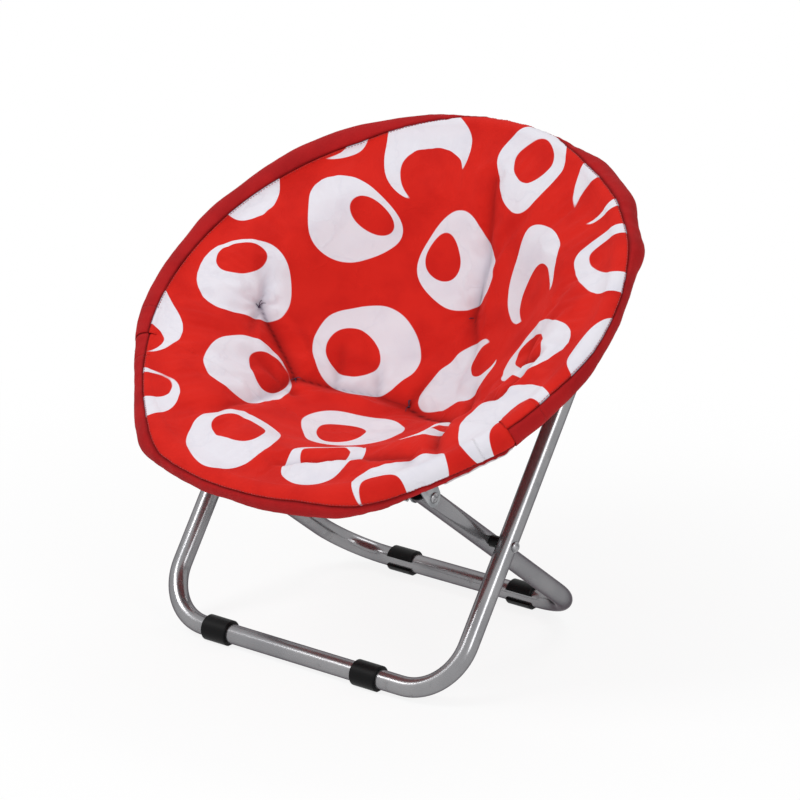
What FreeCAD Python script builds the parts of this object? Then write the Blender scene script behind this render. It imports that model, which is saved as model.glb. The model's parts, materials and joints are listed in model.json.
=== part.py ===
import FreeCAD, Part
import math
import os

from FreeCAD import Placement, Rotation, Vector

# A folding moon chair: two U-shaped tube legs crossed at a rivet carry a tilted
# hoop that folds in two, and a padded fabric bowl hangs in the hoop.
# Millimetres, +X to the sitter's left, +Y to the back, +Z up, floor at Z = 0,
# with the origin on the floor under the middle of the hoop.

# Driving dimensions: tubes
leg_tube_d = 25.0
leg_wall = 1.2
hoop_tube_d = 22.0
hoop_wall = 1.2

# Driving dimensions: hoop
hoop_radius = 310.0
hoop_tilt = 32.0
hoop_height = 427.5

# Driving dimensions: where the legs stand and where they meet the hoop
foot_wall = 3.0
foot_flat = 1.0
foot_length = 38.0
foot_slot = 13.0
front_bar_y = -159.0
rear_bar_y = 170.0
front_leg_inset = 84.0
crossing_gap = 11.0
leg_bend_radius = 70.0
back_pivot_inset = 35.19
front_pivot_inset = 27.45
pivot_drop = 50.0
front_clip_inset = (25.0, 51.0)
rear_clip_inset = (28.0, 20.0)

# Driving dimensions: pressed leg ends, brackets and rivets
leg_end_reach = 15.0
pressed_half_thickness = 9.5
press_run = 66.0
press_full = 34.0
sheet = 2.5
ear_round = 12.0
washer_thickness = 1.8
washer_radius = 8.0
rivet_radius = 4.0
rivet_head_radius = 7.0
rivet_head_height = 3.0
rivet_head_flat = 1.5
rivet_standoff = 0.4
running_clearance = 0.05
side_clearance = 0.3
plug_lip = 3.0
plug_rounding = 1.2
plug_depth = 5.0
web_overhang = 11.0
ear_half_length = 16.0
screw_radius = 2.4
screw_head_radius = 4.5
screw_head_height = 2.2
screw_head_rounding = 1.0
screw_length = 6.0

# Driving dimensions: crossing rivet and spacer
spacer_radius = 7.5
spacer_clearance = 0.5

# Driving dimensions: hinges in the hoop
hinge_v = -132.5
hinge_gap = 30.0
hinge_plate = 3.0
hinge_plate_round = 10.0
hinge_plate_standoff = 0.1
spigot_length = 20.0
spigot_clearance = 0.1
knuckle_head = 12.0

# Driving dimensions: fabric
sleeve_thickness = 4.6
sleeve_looseness = 0.5
sleeve_start = 38.0
sleeve_window = 2.0
cover_thickness = 8.0
cover_rim_rise = 8.0
cover_lip_width = 37.0
cover_lip_drop = 2.0
cover_belly_share = 0.63
cover_belly_drop = 76.0
cover_knee_share = 0.286
cover_knee_drop = 133.0
cover_flat_share = 0.069
cover_depth = 147.0
cover_seam_gap = 2.0
crease_width = 7.0
crease_depth = 3.0
tuft_radius = 9.0
tuft_depth = 5.0
soft_clearance = 0.3

# Sizes worked out from the driving dimensions
leg_r = leg_tube_d / 2
leg_bore_r = leg_r - leg_wall
hoop_r = hoop_tube_d / 2
hoop_bore_r = hoop_r - hoop_wall
bar_z = leg_r + foot_wall
front_leg_half_width = hoop_radius - front_leg_inset
rear_leg_half_width = front_leg_half_width - leg_tube_d - crossing_gap
back_pivot_v = math.sqrt(hoop_radius ** 2 - front_leg_half_width ** 2) - back_pivot_inset
front_pivot_v = front_pivot_inset - math.sqrt(hoop_radius ** 2 - rear_leg_half_width ** 2)
cover_rim_radius = hoop_radius - hoop_r
cover_lip_radius = cover_rim_radius - cover_lip_width
tilt = math.radians(hoop_tilt)
sleeve_inner_r = hoop_r + sleeve_looseness
sleeve_outer_r = sleeve_inner_r + sleeve_thickness
ear_gap = 2 * (pressed_half_thickness + washer_thickness + side_clearance)
bracket_width = ear_gap + 2 * sheet
pivot_hole = rivet_radius + running_clearance
SIDES = (-1, 1)
X_AXIS = Vector(1, 0, 0)
Z_AXIS = Vector(0, 0, 1)

os.makedirs("parts", exist_ok=True)


def hoop_place():
    """The hoop's own frame: x sideways, v up its slope, w out of the bowl."""
    return Placement(Vector(0, 0, hoop_height), Rotation(X_AXIS, hoop_tilt))


def to_world(v, w):
    """The Y and Z of a point given in the hoop's frame."""
    y = v * math.cos(tilt) - w * math.sin(tilt)
    z = hoop_height + v * math.sin(tilt) + w * math.cos(tilt)
    return y, z


def placed(shape, placement):
    moved = shape.copy()
    moved.Placement = placement.multiply(moved.Placement)
    return moved


def save(node, solids):
    """Write one node: a single solid, or a group of separate ones."""
    shape = solids[0] if len(solids) == 1 else Part.makeCompound(solids)
    shape.exportStep("parts/" + node + ".step")
    volume = sum(s.Volume for s in solids)
    print(f"{node}: {len(solids)} solid(s), {volume:.0f} mm3, valid {shape.isValid()}")


def x_cylinder(radius, x0, x1, y=0.0, z=0.0):
    """A cylinder along X between two planes."""
    low, high = min(x0, x1), max(x0, x1)
    return Part.makeCylinder(radius, high - low, Vector(low, y, z), X_AXIS)


def box(x0, x1, y0, y1, z0, z1):
    return Part.makeBox(x1 - x0, y1 - y0, z1 - z0, Vector(x0, y0, z0))


def prism(points, z_half):
    """A plate with a polygon outline in x and y, as thick as twice z_half."""
    corners = [Vector(x, y, -z_half) for x, y in points]
    face = Part.Face(Part.makePolygon(corners + corners[:1]))
    return face.extrude(Vector(0, 0, 2 * z_half))


def domed_head(radius, height, x, outward):
    """A low rivet head standing on the plane x, round with a small flat top."""
    foot = Vector(x, 0, 0)
    top = Vector(x + height, 0, 0)
    flat = Vector(x + height, 0, rivet_head_flat)
    rim = Vector(x, 0, radius)
    shoulder = Vector(x + height * math.sqrt(0.75), 0, rivet_head_flat + (radius - rivet_head_flat) / 2)
    dome = Part.Arc(flat, shoulder, rim).toShape()
    edges = [dome, Part.makeLine(rim, foot), Part.makeLine(foot, top), Part.makeLine(top, flat)]
    head = Part.Face(Part.Wire(edges)).revolve(foot, X_AXIS, 360)
    return head if outward > 0 else head.mirror(foot, X_AXIS)


# Legs

class Leg:
    """One U-shaped leg frame, in a flat frame of its own: y runs up the leg."""

    def __init__(self, bar_y, half_width, pivot_v):
        self.bar_y = bar_y
        self.half_width = half_width
        pivot_y, pivot_z = to_world(pivot_v, -pivot_drop)
        rise = pivot_z - bar_z
        run = pivot_y - bar_y
        self.pivot_s = math.hypot(run, rise)
        self.angle = math.degrees(math.atan2(rise, run))
        self.place = Placement(Vector(0, bar_y, bar_z), Rotation(X_AXIS, self.angle))

    def path(self):
        w, b = self.half_width, leg_bend_radius
        top = self.pivot_s + leg_end_reach
        turn = b * math.sqrt(0.5)
        edges = []
        edges.append(Part.LineSegment(Vector(-w, top, 0), Vector(-w, b, 0)).toShape())
        left_mid = Vector(-w + b - turn, b - turn, 0)
        edges.append(Part.Arc(Vector(-w, b, 0), left_mid, Vector(-w + b, 0, 0)).toShape())
        edges.append(Part.LineSegment(Vector(-w + b, 0, 0), Vector(w - b, 0, 0)).toShape())
        right_mid = Vector(w - b + turn, b - turn, 0)
        edges.append(Part.Arc(Vector(w - b, 0, 0), right_mid, Vector(w, b, 0)).toShape())
        edges.append(Part.LineSegment(Vector(w, b, 0), Vector(w, top, 0)).toShape())
        return Part.Wire(edges)

    def swept(self, radius):
        top = self.pivot_s + leg_end_reach
        circle = Part.makeCircle(radius, Vector(-self.half_width, top, 0), Vector(0, 1, 0))
        return self.path().makePipeShell([Part.Wire([circle])], True, False)

    def press_tools(self, inset):
        """What the press takes off the sides of both leg ends."""
        top = self.pivot_s + leg_end_reach
        start = self.pivot_s - press_full - press_run
        full = self.pivot_s - press_full
        tools = []
        for side in SIDES:
            for face in SIDES:
                edge = leg_r - inset
                flat = pressed_half_thickness - inset
                outer = leg_tube_d
                middle = side * self.half_width
                points = [(edge, start), (flat, full), (flat, top + 1),
                          (outer, top + 1), (outer, start)]
                outline = [(middle + face * x, y) for x, y in points]
                tools.append(prism(outline, leg_tube_d))
        return tools

    def tube(self):
        outside = self.swept(leg_r)
        bore = self.swept(leg_bore_r)
        for tool in self.press_tools(0.0):
            outside = outside.cut(tool)
        for tool in self.press_tools(leg_wall):
            bore = bore.cut(tool)
        return outside.cut(bore)

    def end_slice(self, y0, y1, radius, inset):
        """A slice of the pressed section of both leg ends."""
        slices = []
        for side in SIDES:
            x = side * self.half_width
            half = pressed_half_thickness - inset
            rod = Part.makeCylinder(radius, y1 - y0, Vector(x, y0, 0), Vector(0, 1, 0))
            slices.append(rod.common(box(x - half, x + half, y0, y1, -leg_tube_d, leg_tube_d)))
        return slices

    def plugs(self):
        """Plastic plugs: a spigot in each end and a rounded lip on it."""
        top = self.pivot_s + leg_end_reach
        fit = leg_wall + soft_clearance / 3
        spigots = self.end_slice(top - plug_depth, top, leg_r - fit, fit)
        lips = self.end_slice(top, top + plug_lip, leg_r, 0.0)
        solids = []
        for spigot, lip in zip(spigots, lips):
            rim = [e for e in lip.Edges if e.BoundBox.YMin > top + plug_lip - 0.01]
            rounded = lip.makeFillet(plug_rounding, rim)
            solids.append(spigot.fuse(rounded).removeSplitter())
        return solids


front_legs = Leg(front_bar_y, front_leg_half_width, back_pivot_v)
rear_legs = Leg(rear_bar_y, rear_leg_half_width, front_pivot_v)


def crossing_point():
    """Where the two leg centre lines cross, seen from the side."""
    a, b = math.radians(front_legs.angle), math.radians(rear_legs.angle)
    gap = rear_bar_y - front_bar_y
    along = gap * math.sin(b) / math.sin(b - a)
    return front_bar_y + along * math.cos(a), bar_z + along * math.sin(a)


cross_y, cross_z = crossing_point()
cross_reach = math.hypot(cross_y - front_bar_y, cross_z - bar_z)
rear_cross_reach = math.hypot(cross_y - rear_bar_y, cross_z - bar_z)


def bar_clip(x, opening):
    """A plastic clip on a bar, cut flat where it stands on the floor."""
    outer_r = leg_r + foot_wall + foot_flat
    middle = x - foot_length / 2
    ring = x_cylinder(outer_r, middle, middle + foot_length)
    ring = ring.cut(x_cylinder(leg_r, middle - 1, middle + foot_length + 1))
    reach = 2 * outer_r
    slot_y = sorted((0, opening * reach))
    slot = box(middle - 1, middle + foot_length + 1, *slot_y, -foot_slot / 2, foot_slot / 2)
    below = box(middle - 1, middle + foot_length + 1, -reach, reach, -reach, -bar_z)
    return ring.cut(slot).cut(below)


def drilled(shape, radius, half_width, s):
    """Drill both uprights of a leg frame across, at a length s up the leg."""
    for side in SIDES:
        x = side * half_width
        shape = shape.cut(x_cylinder(radius, x - leg_tube_d, x + leg_tube_d, s, 0))
    return shape


front_tube = front_legs.tube()
front_tube = drilled(front_tube, pivot_hole, front_leg_half_width, front_legs.pivot_s)
front_tube = drilled(front_tube, rivet_radius, front_leg_half_width, cross_reach)
rear_tube = rear_legs.tube()
rear_tube = drilled(rear_tube, pivot_hole, rear_leg_half_width, rear_legs.pivot_s)
rear_tube = drilled(rear_tube, rivet_radius, rear_leg_half_width, rear_cross_reach)

save("front_leg_frame", [placed(front_tube, front_legs.place)])
save("rear_leg_frame", [placed(rear_tube, rear_legs.place)])
save("front_leg_end_plugs", [placed(p, front_legs.place) for p in front_legs.plugs()])
save("rear_leg_end_plugs", [placed(p, rear_legs.place) for p in rear_legs.plugs()])

front_bar = Placement(Vector(0, front_bar_y, bar_z), Rotation())
rear_bar = Placement(Vector(0, rear_bar_y, bar_z), Rotation())
for name, side, inset in zip(("left", "right"), SIDES, front_clip_inset):
    clip_x = side * (front_leg_half_width - leg_bend_radius - inset)
    save("front_foot_clip_" + name, [placed(bar_clip(clip_x, 1), front_bar)])
for name, side, inset in zip(("left", "right"), SIDES, rear_clip_inset):
    clip_x = side * (rear_leg_half_width - leg_bend_radius - inset)
    save("rear_foot_clip_" + name, [placed(bar_clip(clip_x, -1), rear_bar)])


# Crossing rivets: the outer half and the spacer stay with the front legs, the
# inner half with the rear legs

def crossing_pieces():
    outer, inner, spacers = [], [], []
    rear_face = rear_leg_half_width + leg_r
    for side in SIDES:
        head_x = front_leg_half_width + leg_r + rivet_standoff
        head = domed_head(rivet_head_radius, rivet_head_height, head_x, 1)
        seat = x_cylinder(rivet_head_radius, head_x - rivet_head_height, head_x)
        tube = x_free_tube(front_leg_half_width, leg_r, front_legs.angle)
        seat = seat.cut(tube)
        stub_end = rear_face + spacer_clearance
        shank = x_cylinder(rivet_radius, stub_end, head_x)
        outer.append(mirror_x(head.fuse(seat).fuse(shank).removeSplitter(), side))

        spacer = x_cylinder(spacer_radius, stub_end, front_leg_half_width)
        spacer = spacer.cut(tube).cut(x_cylinder(rivet_radius, stub_end - 1, front_leg_half_width))
        spacers.append(mirror_x(spacer, side))

        inner_x = rear_leg_half_width - leg_r - rivet_standoff
        rear_free = x_free_tube(rear_leg_half_width, leg_r, rear_legs.angle)
        inner_head = domed_head(rivet_head_radius, rivet_head_height, inner_x, -1)
        inner_seat = x_cylinder(rivet_head_radius, inner_x, inner_x + rivet_head_height)
        inner_seat = inner_seat.cut(rear_free)
        inner_shank = x_cylinder(rivet_radius, inner_x, rear_face - side_clearance)
        piece = inner_head.fuse(inner_seat).fuse(inner_shank).removeSplitter()
        inner.append(mirror_x(piece, side))
    place = Placement(Vector(0, cross_y, cross_z), Rotation())
    return [[placed(s, place) for s in group] for group in (outer, inner, spacers)]


def x_free_tube(x, radius, angle):
    """The outside of a straight leg through the crossing, to cut seats with."""
    a = math.radians(angle)
    along = Vector(0, math.cos(a), math.sin(a))
    start = Vector(x, 0, 0) - along * leg_tube_d
    return Part.makeCylinder(radius, 2 * leg_tube_d, start, along)


def mirror_x(shape, side):
    return shape if side > 0 else shape.mirror(Vector(0, 0, 0), X_AXIS)


outer_rivets, inner_rivets, cross_spacers = crossing_pieces()
save("crossing_rivets_outer", outer_rivets)
save("crossing_rivets_inner", inner_rivets)
save("crossing_spacers", cross_spacers)


# Hoop tubes: two arcs of one circle, with a gap at each hinge

def hoop_angle(v):
    """The angle round the hoop, from +X, of the point at v on the +X side."""
    return math.asin(v / hoop_radius)


def on_hoop(angle):
    return Vector(hoop_radius * math.cos(angle), hoop_radius * math.sin(angle), 0)


def hoop_arc(a0, a1, radius):
    """A round bar along the hoop's circle from angle a0 to a1."""
    edge = Part.Arc(on_hoop(a0), on_hoop((a0 + a1) / 2), on_hoop(a1)).toShape()
    along = Vector(-math.sin(a0), math.cos(a0), 0)
    circle = Part.makeCircle(radius, on_hoop(a0), along)
    return Part.Wire([edge]).makePipeShell([Part.Wire([circle])], True, False)


back_start = hoop_angle(hinge_v + hinge_gap)
front_start = hoop_angle(hinge_v - hinge_gap)
back_span = (back_start, math.pi - back_start)
front_span = (-math.pi - front_start, front_start)
back_sleeve_start = hoop_angle(hinge_v + sleeve_start)
front_sleeve_start = hoop_angle(hinge_v - sleeve_start)


def hoop_tube(span):
    return hoop_arc(span[0], span[1], hoop_r).cut(hoop_arc(span[0], span[1], hoop_bore_r))


# Brackets: a folded sheet channel under the hoop for each leg end

class Bracket:
    """The channel, rivet, washers and screws at one pair of leg ends."""

    def __init__(self, half_width, pivot_v):
        self.half_width = half_width
        self.pivot_v = pivot_v
        outward = 1 if pivot_v > 0 else -1
        hoop_v = outward * math.sqrt(hoop_radius ** 2 - half_width ** 2)
        self.web_v0 = pivot_v - outward * ear_half_length
        self.web_v1 = hoop_v + outward * web_overhang
        self.hoop_v = hoop_v
        self.outward = outward

    def channel(self, side):
        x = side * self.half_width
        half = bracket_width / 2
        v0, v1 = sorted((self.web_v0, self.web_v1))
        top = -hoop_r
        web = box(x - half, x + half, v0, v1, top - sheet, top)
        shape = web
        ear_outer = self.pivot_v + self.outward * ear_half_length
        for face in SIDES:
            near = x + face * ear_gap / 2
            far = x + face * half
            shape = shape.fuse(self.ear(min(near, far), sheet, self.web_v0, ear_outer, top))
        shape = shape.cut(x_cylinder(rivet_radius, x - half - 1, x + half + 1, self.pivot_v, -pivot_drop))
        for screw_x in self.screw_places(side):
            foot = Vector(screw_x, self.screw_v(screw_x), top - 2 * sheet)
            shape = shape.cut(Part.makeCylinder(screw_radius, 4 * sheet, foot))
        return shape.removeSplitter()

    def ear(self, x, thickness, v0, v1, top):
        """One ear: straight sides running in to a round end at the rivet."""
        low, high = sorted((v0, v1))
        corners = [(low, top), (high, top), (self.pivot_v + ear_round, -pivot_drop),
                   (self.pivot_v - ear_round, -pivot_drop)]
        points = [Vector(x, v, w) for v, w in corners]
        plate = Part.Face(Part.makePolygon(points + points[:1])).extrude(X_AXIS * thickness)
        return plate.fuse(x_cylinder(ear_round, x, x + thickness, self.pivot_v, -pivot_drop))

    def screw_places(self, side):
        x = side * self.half_width
        return (x - bracket_width / 4, x + bracket_width / 4)

    def screw_v(self, x):
        """Screws go into the middle line of the hoop tube."""
        return self.outward * math.sqrt(hoop_radius ** 2 - x ** 2)

    def screws(self, side):
        solids = []
        bottom = -hoop_r - sheet
        for x in self.screw_places(side):
            v = self.screw_v(x)
            shank = Part.makeCylinder(screw_radius, screw_length, Vector(x, v, bottom))
            lowest = bottom - screw_head_height
            head = Part.makeCylinder(screw_head_radius, screw_head_height, Vector(x, v, lowest))
            rim = [e for e in head.Edges if e.BoundBox.ZMax < lowest + 0.01]
            solids.append(head.makeFillet(screw_head_rounding, rim).fuse(shank).removeSplitter())
        return solids

    def rivet(self, side):
        half = bracket_width / 2
        shank = x_cylinder(rivet_radius, -half, half)
        piece = shank.fuse(domed_head(rivet_head_radius, rivet_head_height, half, 1))
        piece = piece.fuse(domed_head(rivet_head_radius, rivet_head_height, -half, -1)).removeSplitter()
        return placed(piece, self.pivot_place(side))

    def pivot_place(self, side):
        return Placement(Vector(side * self.half_width, self.pivot_v, -pivot_drop), Rotation())

    def washers(self, side):
        solids = []
        for face in SIDES:
            x0 = face * ear_gap / 2
            x1 = x0 - face * washer_thickness
            ring = x_cylinder(washer_radius, x0, x1).cut(x_cylinder(rivet_radius, x0 + face, x1 - face))
            solids.append(placed(ring, self.pivot_place(side)))
        return solids

    def keep_out(self, side, margin):
        """The space that fabric leaves free round the channel."""
        x = side * self.half_width
        half = bracket_width / 2 + margin
        v0, v1 = sorted((self.web_v0, self.web_v1))
        deep = 2 * pivot_drop
        return box(x - half, x + half, v0 - margin, v1 + margin, -deep, -hoop_r + margin)

    def tube_holes(self):
        tools = []
        for side in SIDES:
            for x in self.screw_places(side):
                foot = Vector(x, self.screw_v(x), -hoop_r - 1)
                tools.append(Part.makeCylinder(screw_radius, hoop_r, foot))
        return tools


back_bracket = Bracket(front_leg_half_width, back_pivot_v)
front_bracket = Bracket(rear_leg_half_width, front_pivot_v)

for body, bracket, span in (("back", back_bracket, back_span), ("front", front_bracket, front_span)):
    tube = hoop_tube(span)
    for tool in bracket.tube_holes():
        tube = tube.cut(tool)
    save(body + "_hoop_tube", [placed(tube, hoop_place())])
    for name, side in (("left", -1), ("right", 1)):
        save(f"{body}_bracket_{name}", [placed(bracket.channel(side), hoop_place())])
    rivets = [bracket.rivet(side) for side in SIDES]
    save(body + "_bracket_rivets", [placed(s, hoop_place()) for s in rivets])
    washers = bracket.washers(-1) + bracket.washers(1)
    save(body + "_bracket_washers", [placed(s, hoop_place()) for s in washers])
    screws = bracket.screws(-1) + bracket.screws(1)
    save(body + "_bracket_screws", [placed(s, hoop_place()) for s in screws])


# Hoop hinges: a spigot and a lapped plate in each tube end, and a pin through
# the two plates. The plane between the plates parts the two halves.

front_plate_x = hoop_radius * math.cos(front_start) + hoop_r + hinge_plate_standoff
hinge_plane_x = front_plate_x + hinge_plate + side_clearance / 2
back_plate_x = hinge_plane_x + side_clearance / 2


def hinge_knuckle(start, toward, x0, hole):
    """A spigot in a tube end, a head on it, and the plate that takes the pin."""
    inside = start - toward * spigot_length / hoop_radius
    spigot = hoop_arc(min(start, inside), max(start, inside), hoop_bore_r - spigot_clearance)
    along = Vector(-math.sin(start), math.cos(start), 0) * toward
    head = Part.makeCylinder(hoop_r, knuckle_head, on_hoop(start), along)
    reach = hinge_gap + hinge_plate_round
    tube_v = hoop_radius * math.sin(start)
    low, high = sorted((hinge_v, tube_v))
    plate = box(x0, x0 + hinge_plate, low, high, -hinge_plate_round, hinge_plate_round)
    plate = plate.fuse(x_cylinder(hinge_plate_round, x0, x0 + hinge_plate, hinge_v, 0))
    if toward > 0:
        beyond = box(x0 + hinge_plate, x0 + reach, hinge_v - 2 * reach, hinge_v + reach, -reach, reach)
    else:
        beyond = box(x0 - reach, x0, hinge_v - reach, hinge_v + 2 * reach, -reach, reach)
    body = spigot.fuse(head.cut(beyond)).fuse(plate)
    return body.cut(x_cylinder(hole, x0 - reach, x0 + reach, hinge_v, 0)).removeSplitter()


def hinge_pin():
    inner = front_plate_x - side_clearance
    outer = back_plate_x + hinge_plate
    pin = x_cylinder(rivet_radius, inner, outer)
    pin = pin.fuse(domed_head(rivet_head_radius, rivet_head_height, outer, 1))
    pin = pin.fuse(domed_head(rivet_head_radius, rivet_head_height, inner, -1)).removeSplitter()
    return placed(pin, Placement(Vector(0, hinge_v, 0), Rotation()))


front_knuckle = hinge_knuckle(front_start, 1, front_plate_x, pivot_hole)
back_knuckle = hinge_knuckle(back_start, -1, back_plate_x, rivet_radius)
for name, piece in (("front_hinge_knuckles", front_knuckle), ("back_hinge_knuckles", back_knuckle),
                    ("hoop_hinge_pins", hinge_pin())):
    save(name, [placed(mirror_x(piece, side), hoop_place()) for side in SIDES])


# Fabric: a sleeve round each half of the hoop, and the padded bowl

def rim_sleeve(a0, a1, bracket):
    sleeve = hoop_arc(a0, a1, sleeve_outer_r).cut(hoop_arc(a0, a1, sleeve_inner_r))
    for side in SIDES:
        sleeve = sleeve.cut(bracket.keep_out(side, sleeve_window))
    return sleeve


back_sleeve = rim_sleeve(back_sleeve_start, math.pi - back_sleeve_start, back_bracket)
front_sleeve = rim_sleeve(-math.pi - front_sleeve_start, front_sleeve_start, front_bracket)
save("back_rim_sleeve", [placed(back_sleeve, hoop_place())])
save("front_rim_sleeve", [placed(front_sleeve, hoop_place())])


def bowl_solid(top_drop, bottom_drop):
    """The bowl between two drops below its upper face, turned round its axis."""

    def profile(drop):
        rim = Vector(cover_rim_radius, 0, cover_rim_rise - drop)
        lip = Vector(cover_lip_radius, 0, -cover_lip_drop - drop)
        belly = Vector(cover_lip_radius * cover_belly_share, 0, -cover_belly_drop - drop)
        knee = Vector(cover_lip_radius * cover_knee_share, 0, -cover_knee_drop - drop)
        flat = Vector(cover_lip_radius * cover_flat_share, 0, -cover_depth - drop)
        axis = Vector(0, 0, -cover_depth - drop)
        curve = Part.BSplineCurve()
        curve.interpolate(Points=[lip, belly, knee, flat], InitialTangent=lip - rim,
                          FinalTangent=axis - flat)
        edges = [Part.LineSegment(rim, lip).toShape(), curve.toShape(),
                 Part.LineSegment(flat, axis).toShape()]
        return edges, rim, axis

    upper, upper_rim, upper_axis = profile(top_drop)
    lower, lower_rim, lower_axis = profile(bottom_drop)
    edges = upper + [Part.LineSegment(upper_axis, lower_axis).toShape()]
    edges += lower + [Part.LineSegment(lower_rim, upper_rim).toShape()]
    face = Part.Face(Part.Wire(Part.__sortEdges__(edges)))
    return face.revolve(Vector(0, 0, 0), Z_AXIS, 360)


def crease_slab(x0, v0, x1, v1):
    """A tall thin slab along a line on the bowl, seen along the bowl's axis."""
    length = math.hypot(x1 - x0, v1 - v0)
    angle = math.degrees(math.atan2(v1 - v0, x1 - x0))
    slab = box(0, length, -crease_width / 2, crease_width / 2, -2 * cover_depth, cover_depth)
    return placed(slab, Placement(Vector(x0, v0, 0), Rotation(Z_AXIS, angle)))


# Creases and tufts of the padding, as x and v in shares of the cover's rim radius
tufts = ((-0.67, -0.03), (0.67, -0.03), (-0.43, -0.22), (0.43, -0.22), (0.0, -0.10))
creases = ((-0.72, 0.02, -0.43, -0.22), (-0.43, -0.22, 0.0, -0.10),
           (0.0, -0.10, 0.43, -0.22), (0.43, -0.22, 0.72, 0.02))


def cover():
    bowl = bowl_solid(0.0, cover_thickness)
    skin = bowl_solid(-1.0, crease_depth)
    for crease in creases:
        ends = [share * cover_rim_radius for share in crease]
        bowl = bowl.cut(skin.common(crease_slab(*ends)))
    deep_skin = bowl_solid(-1.0, tuft_depth)
    for x, v in tufts:
        foot = Vector(x * cover_rim_radius, v * cover_rim_radius, -2 * cover_depth)
        post = Part.makeCylinder(tuft_radius, 3 * cover_depth, foot)
        bowl = bowl.cut(deep_skin.common(post))
    ring = Part.makeTorus(hoop_radius, sleeve_outer_r + soft_clearance)
    bowl = bowl.cut(ring)
    for bracket in (back_bracket, front_bracket):
        for side in SIDES:
            bowl = bowl.cut(bracket.keep_out(side, soft_clearance))
    notch_x = front_plate_x - 2 * hoop_r
    for side in SIDES:
        x0, x1 = sorted((side * notch_x, side * (hoop_radius + leg_tube_d)))
        v0, v1 = hinge_v - sleeve_start, hinge_v + sleeve_start
        bowl = bowl.cut(box(x0, x1, v0, v1, -hoop_tube_d, hoop_tube_d))
    return bowl


whole_cover = cover()
wide = 2 * hoop_radius
half_gap = cover_seam_gap / 2
back_half = whole_cover.common(box(-wide, wide, hinge_v + half_gap, wide, -wide, wide))
front_half = whole_cover.common(box(-wide, wide, -wide, hinge_v - half_gap, -wide, wide))
save("seat_cover_back", [placed(s, hoop_place()) for s in back_half.Solids])
save("seat_cover_front", [placed(s, hoop_place()) for s in front_half.Solids])

back_y, back_z = to_world(back_pivot_v, -pivot_drop)
front_y, front_z = to_world(front_pivot_v, -pivot_drop)
hinge_y, hinge_z = to_world(hinge_v, 0.0)
print(f"crossing at y {cross_y:.3f} z {cross_z:.3f}")
print(f"back pivot at y {back_y:.3f} z {back_z:.3f}")
print(f"front pivot at y {front_y:.3f} z {front_z:.3f}")
print(f"hoop hinge at y {hinge_y:.3f} z {hinge_z:.3f}")
print(f"leg angles {front_legs.angle:.2f} {rear_legs.angle:.2f}")
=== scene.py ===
import json
import math

import bmesh
import bpy
import numpy as np
from mathutils import Matrix, Vector, noise


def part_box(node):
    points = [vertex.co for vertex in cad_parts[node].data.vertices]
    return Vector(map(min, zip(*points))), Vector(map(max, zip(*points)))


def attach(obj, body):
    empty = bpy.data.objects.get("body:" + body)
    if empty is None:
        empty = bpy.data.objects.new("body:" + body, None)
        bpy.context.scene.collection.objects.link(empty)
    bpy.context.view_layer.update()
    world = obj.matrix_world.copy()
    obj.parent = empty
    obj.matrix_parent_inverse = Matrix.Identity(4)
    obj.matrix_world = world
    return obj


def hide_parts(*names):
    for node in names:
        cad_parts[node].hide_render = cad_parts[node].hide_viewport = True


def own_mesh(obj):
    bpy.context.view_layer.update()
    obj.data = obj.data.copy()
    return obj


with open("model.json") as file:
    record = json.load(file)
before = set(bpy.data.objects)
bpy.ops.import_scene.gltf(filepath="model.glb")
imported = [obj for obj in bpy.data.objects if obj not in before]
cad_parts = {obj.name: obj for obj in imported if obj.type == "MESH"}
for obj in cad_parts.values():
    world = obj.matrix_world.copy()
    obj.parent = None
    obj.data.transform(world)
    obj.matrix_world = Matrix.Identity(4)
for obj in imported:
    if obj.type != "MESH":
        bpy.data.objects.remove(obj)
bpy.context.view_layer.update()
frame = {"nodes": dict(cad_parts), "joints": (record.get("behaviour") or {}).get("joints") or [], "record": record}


# The studio: a camera in front of the chair and to its left, a little above it, a pale
# floor that fades into a white background, and three soft lamps.
camera_azimuth = 37.6
camera_elevation = 19.4
camera_distance = 5.075
camera_target = Vector((0.00875, 0.02875, 0.29875))
camera_lens = 183.5
camera_sensor = 36.0


def aimed(name, data, azimuth, elevation, distance):
    """Stand a camera or lamp at two angles, in degrees, round the chair, and aim it there."""
    a, e = math.radians(azimuth), math.radians(elevation)
    back = Vector((math.sin(a) * math.cos(e), -math.cos(a) * math.cos(e), math.sin(e)))
    made = bpy.data.objects.new(name, data)
    made.location = camera_target + back * distance
    made.rotation_mode = "QUATERNION"
    made.rotation_quaternion = (-back).to_track_quat("-Z", "Y")
    bpy.context.scene.collection.objects.link(made)
    return made


camera_data = bpy.data.cameras.new("studio_camera")
camera_data.lens = camera_lens
camera_data.sensor_width = camera_sensor
camera = aimed("studio_camera", camera_data, camera_azimuth, camera_elevation, camera_distance)
bpy.context.scene.camera = camera
bpy.context.scene.view_settings.view_transform = "Standard"


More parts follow.
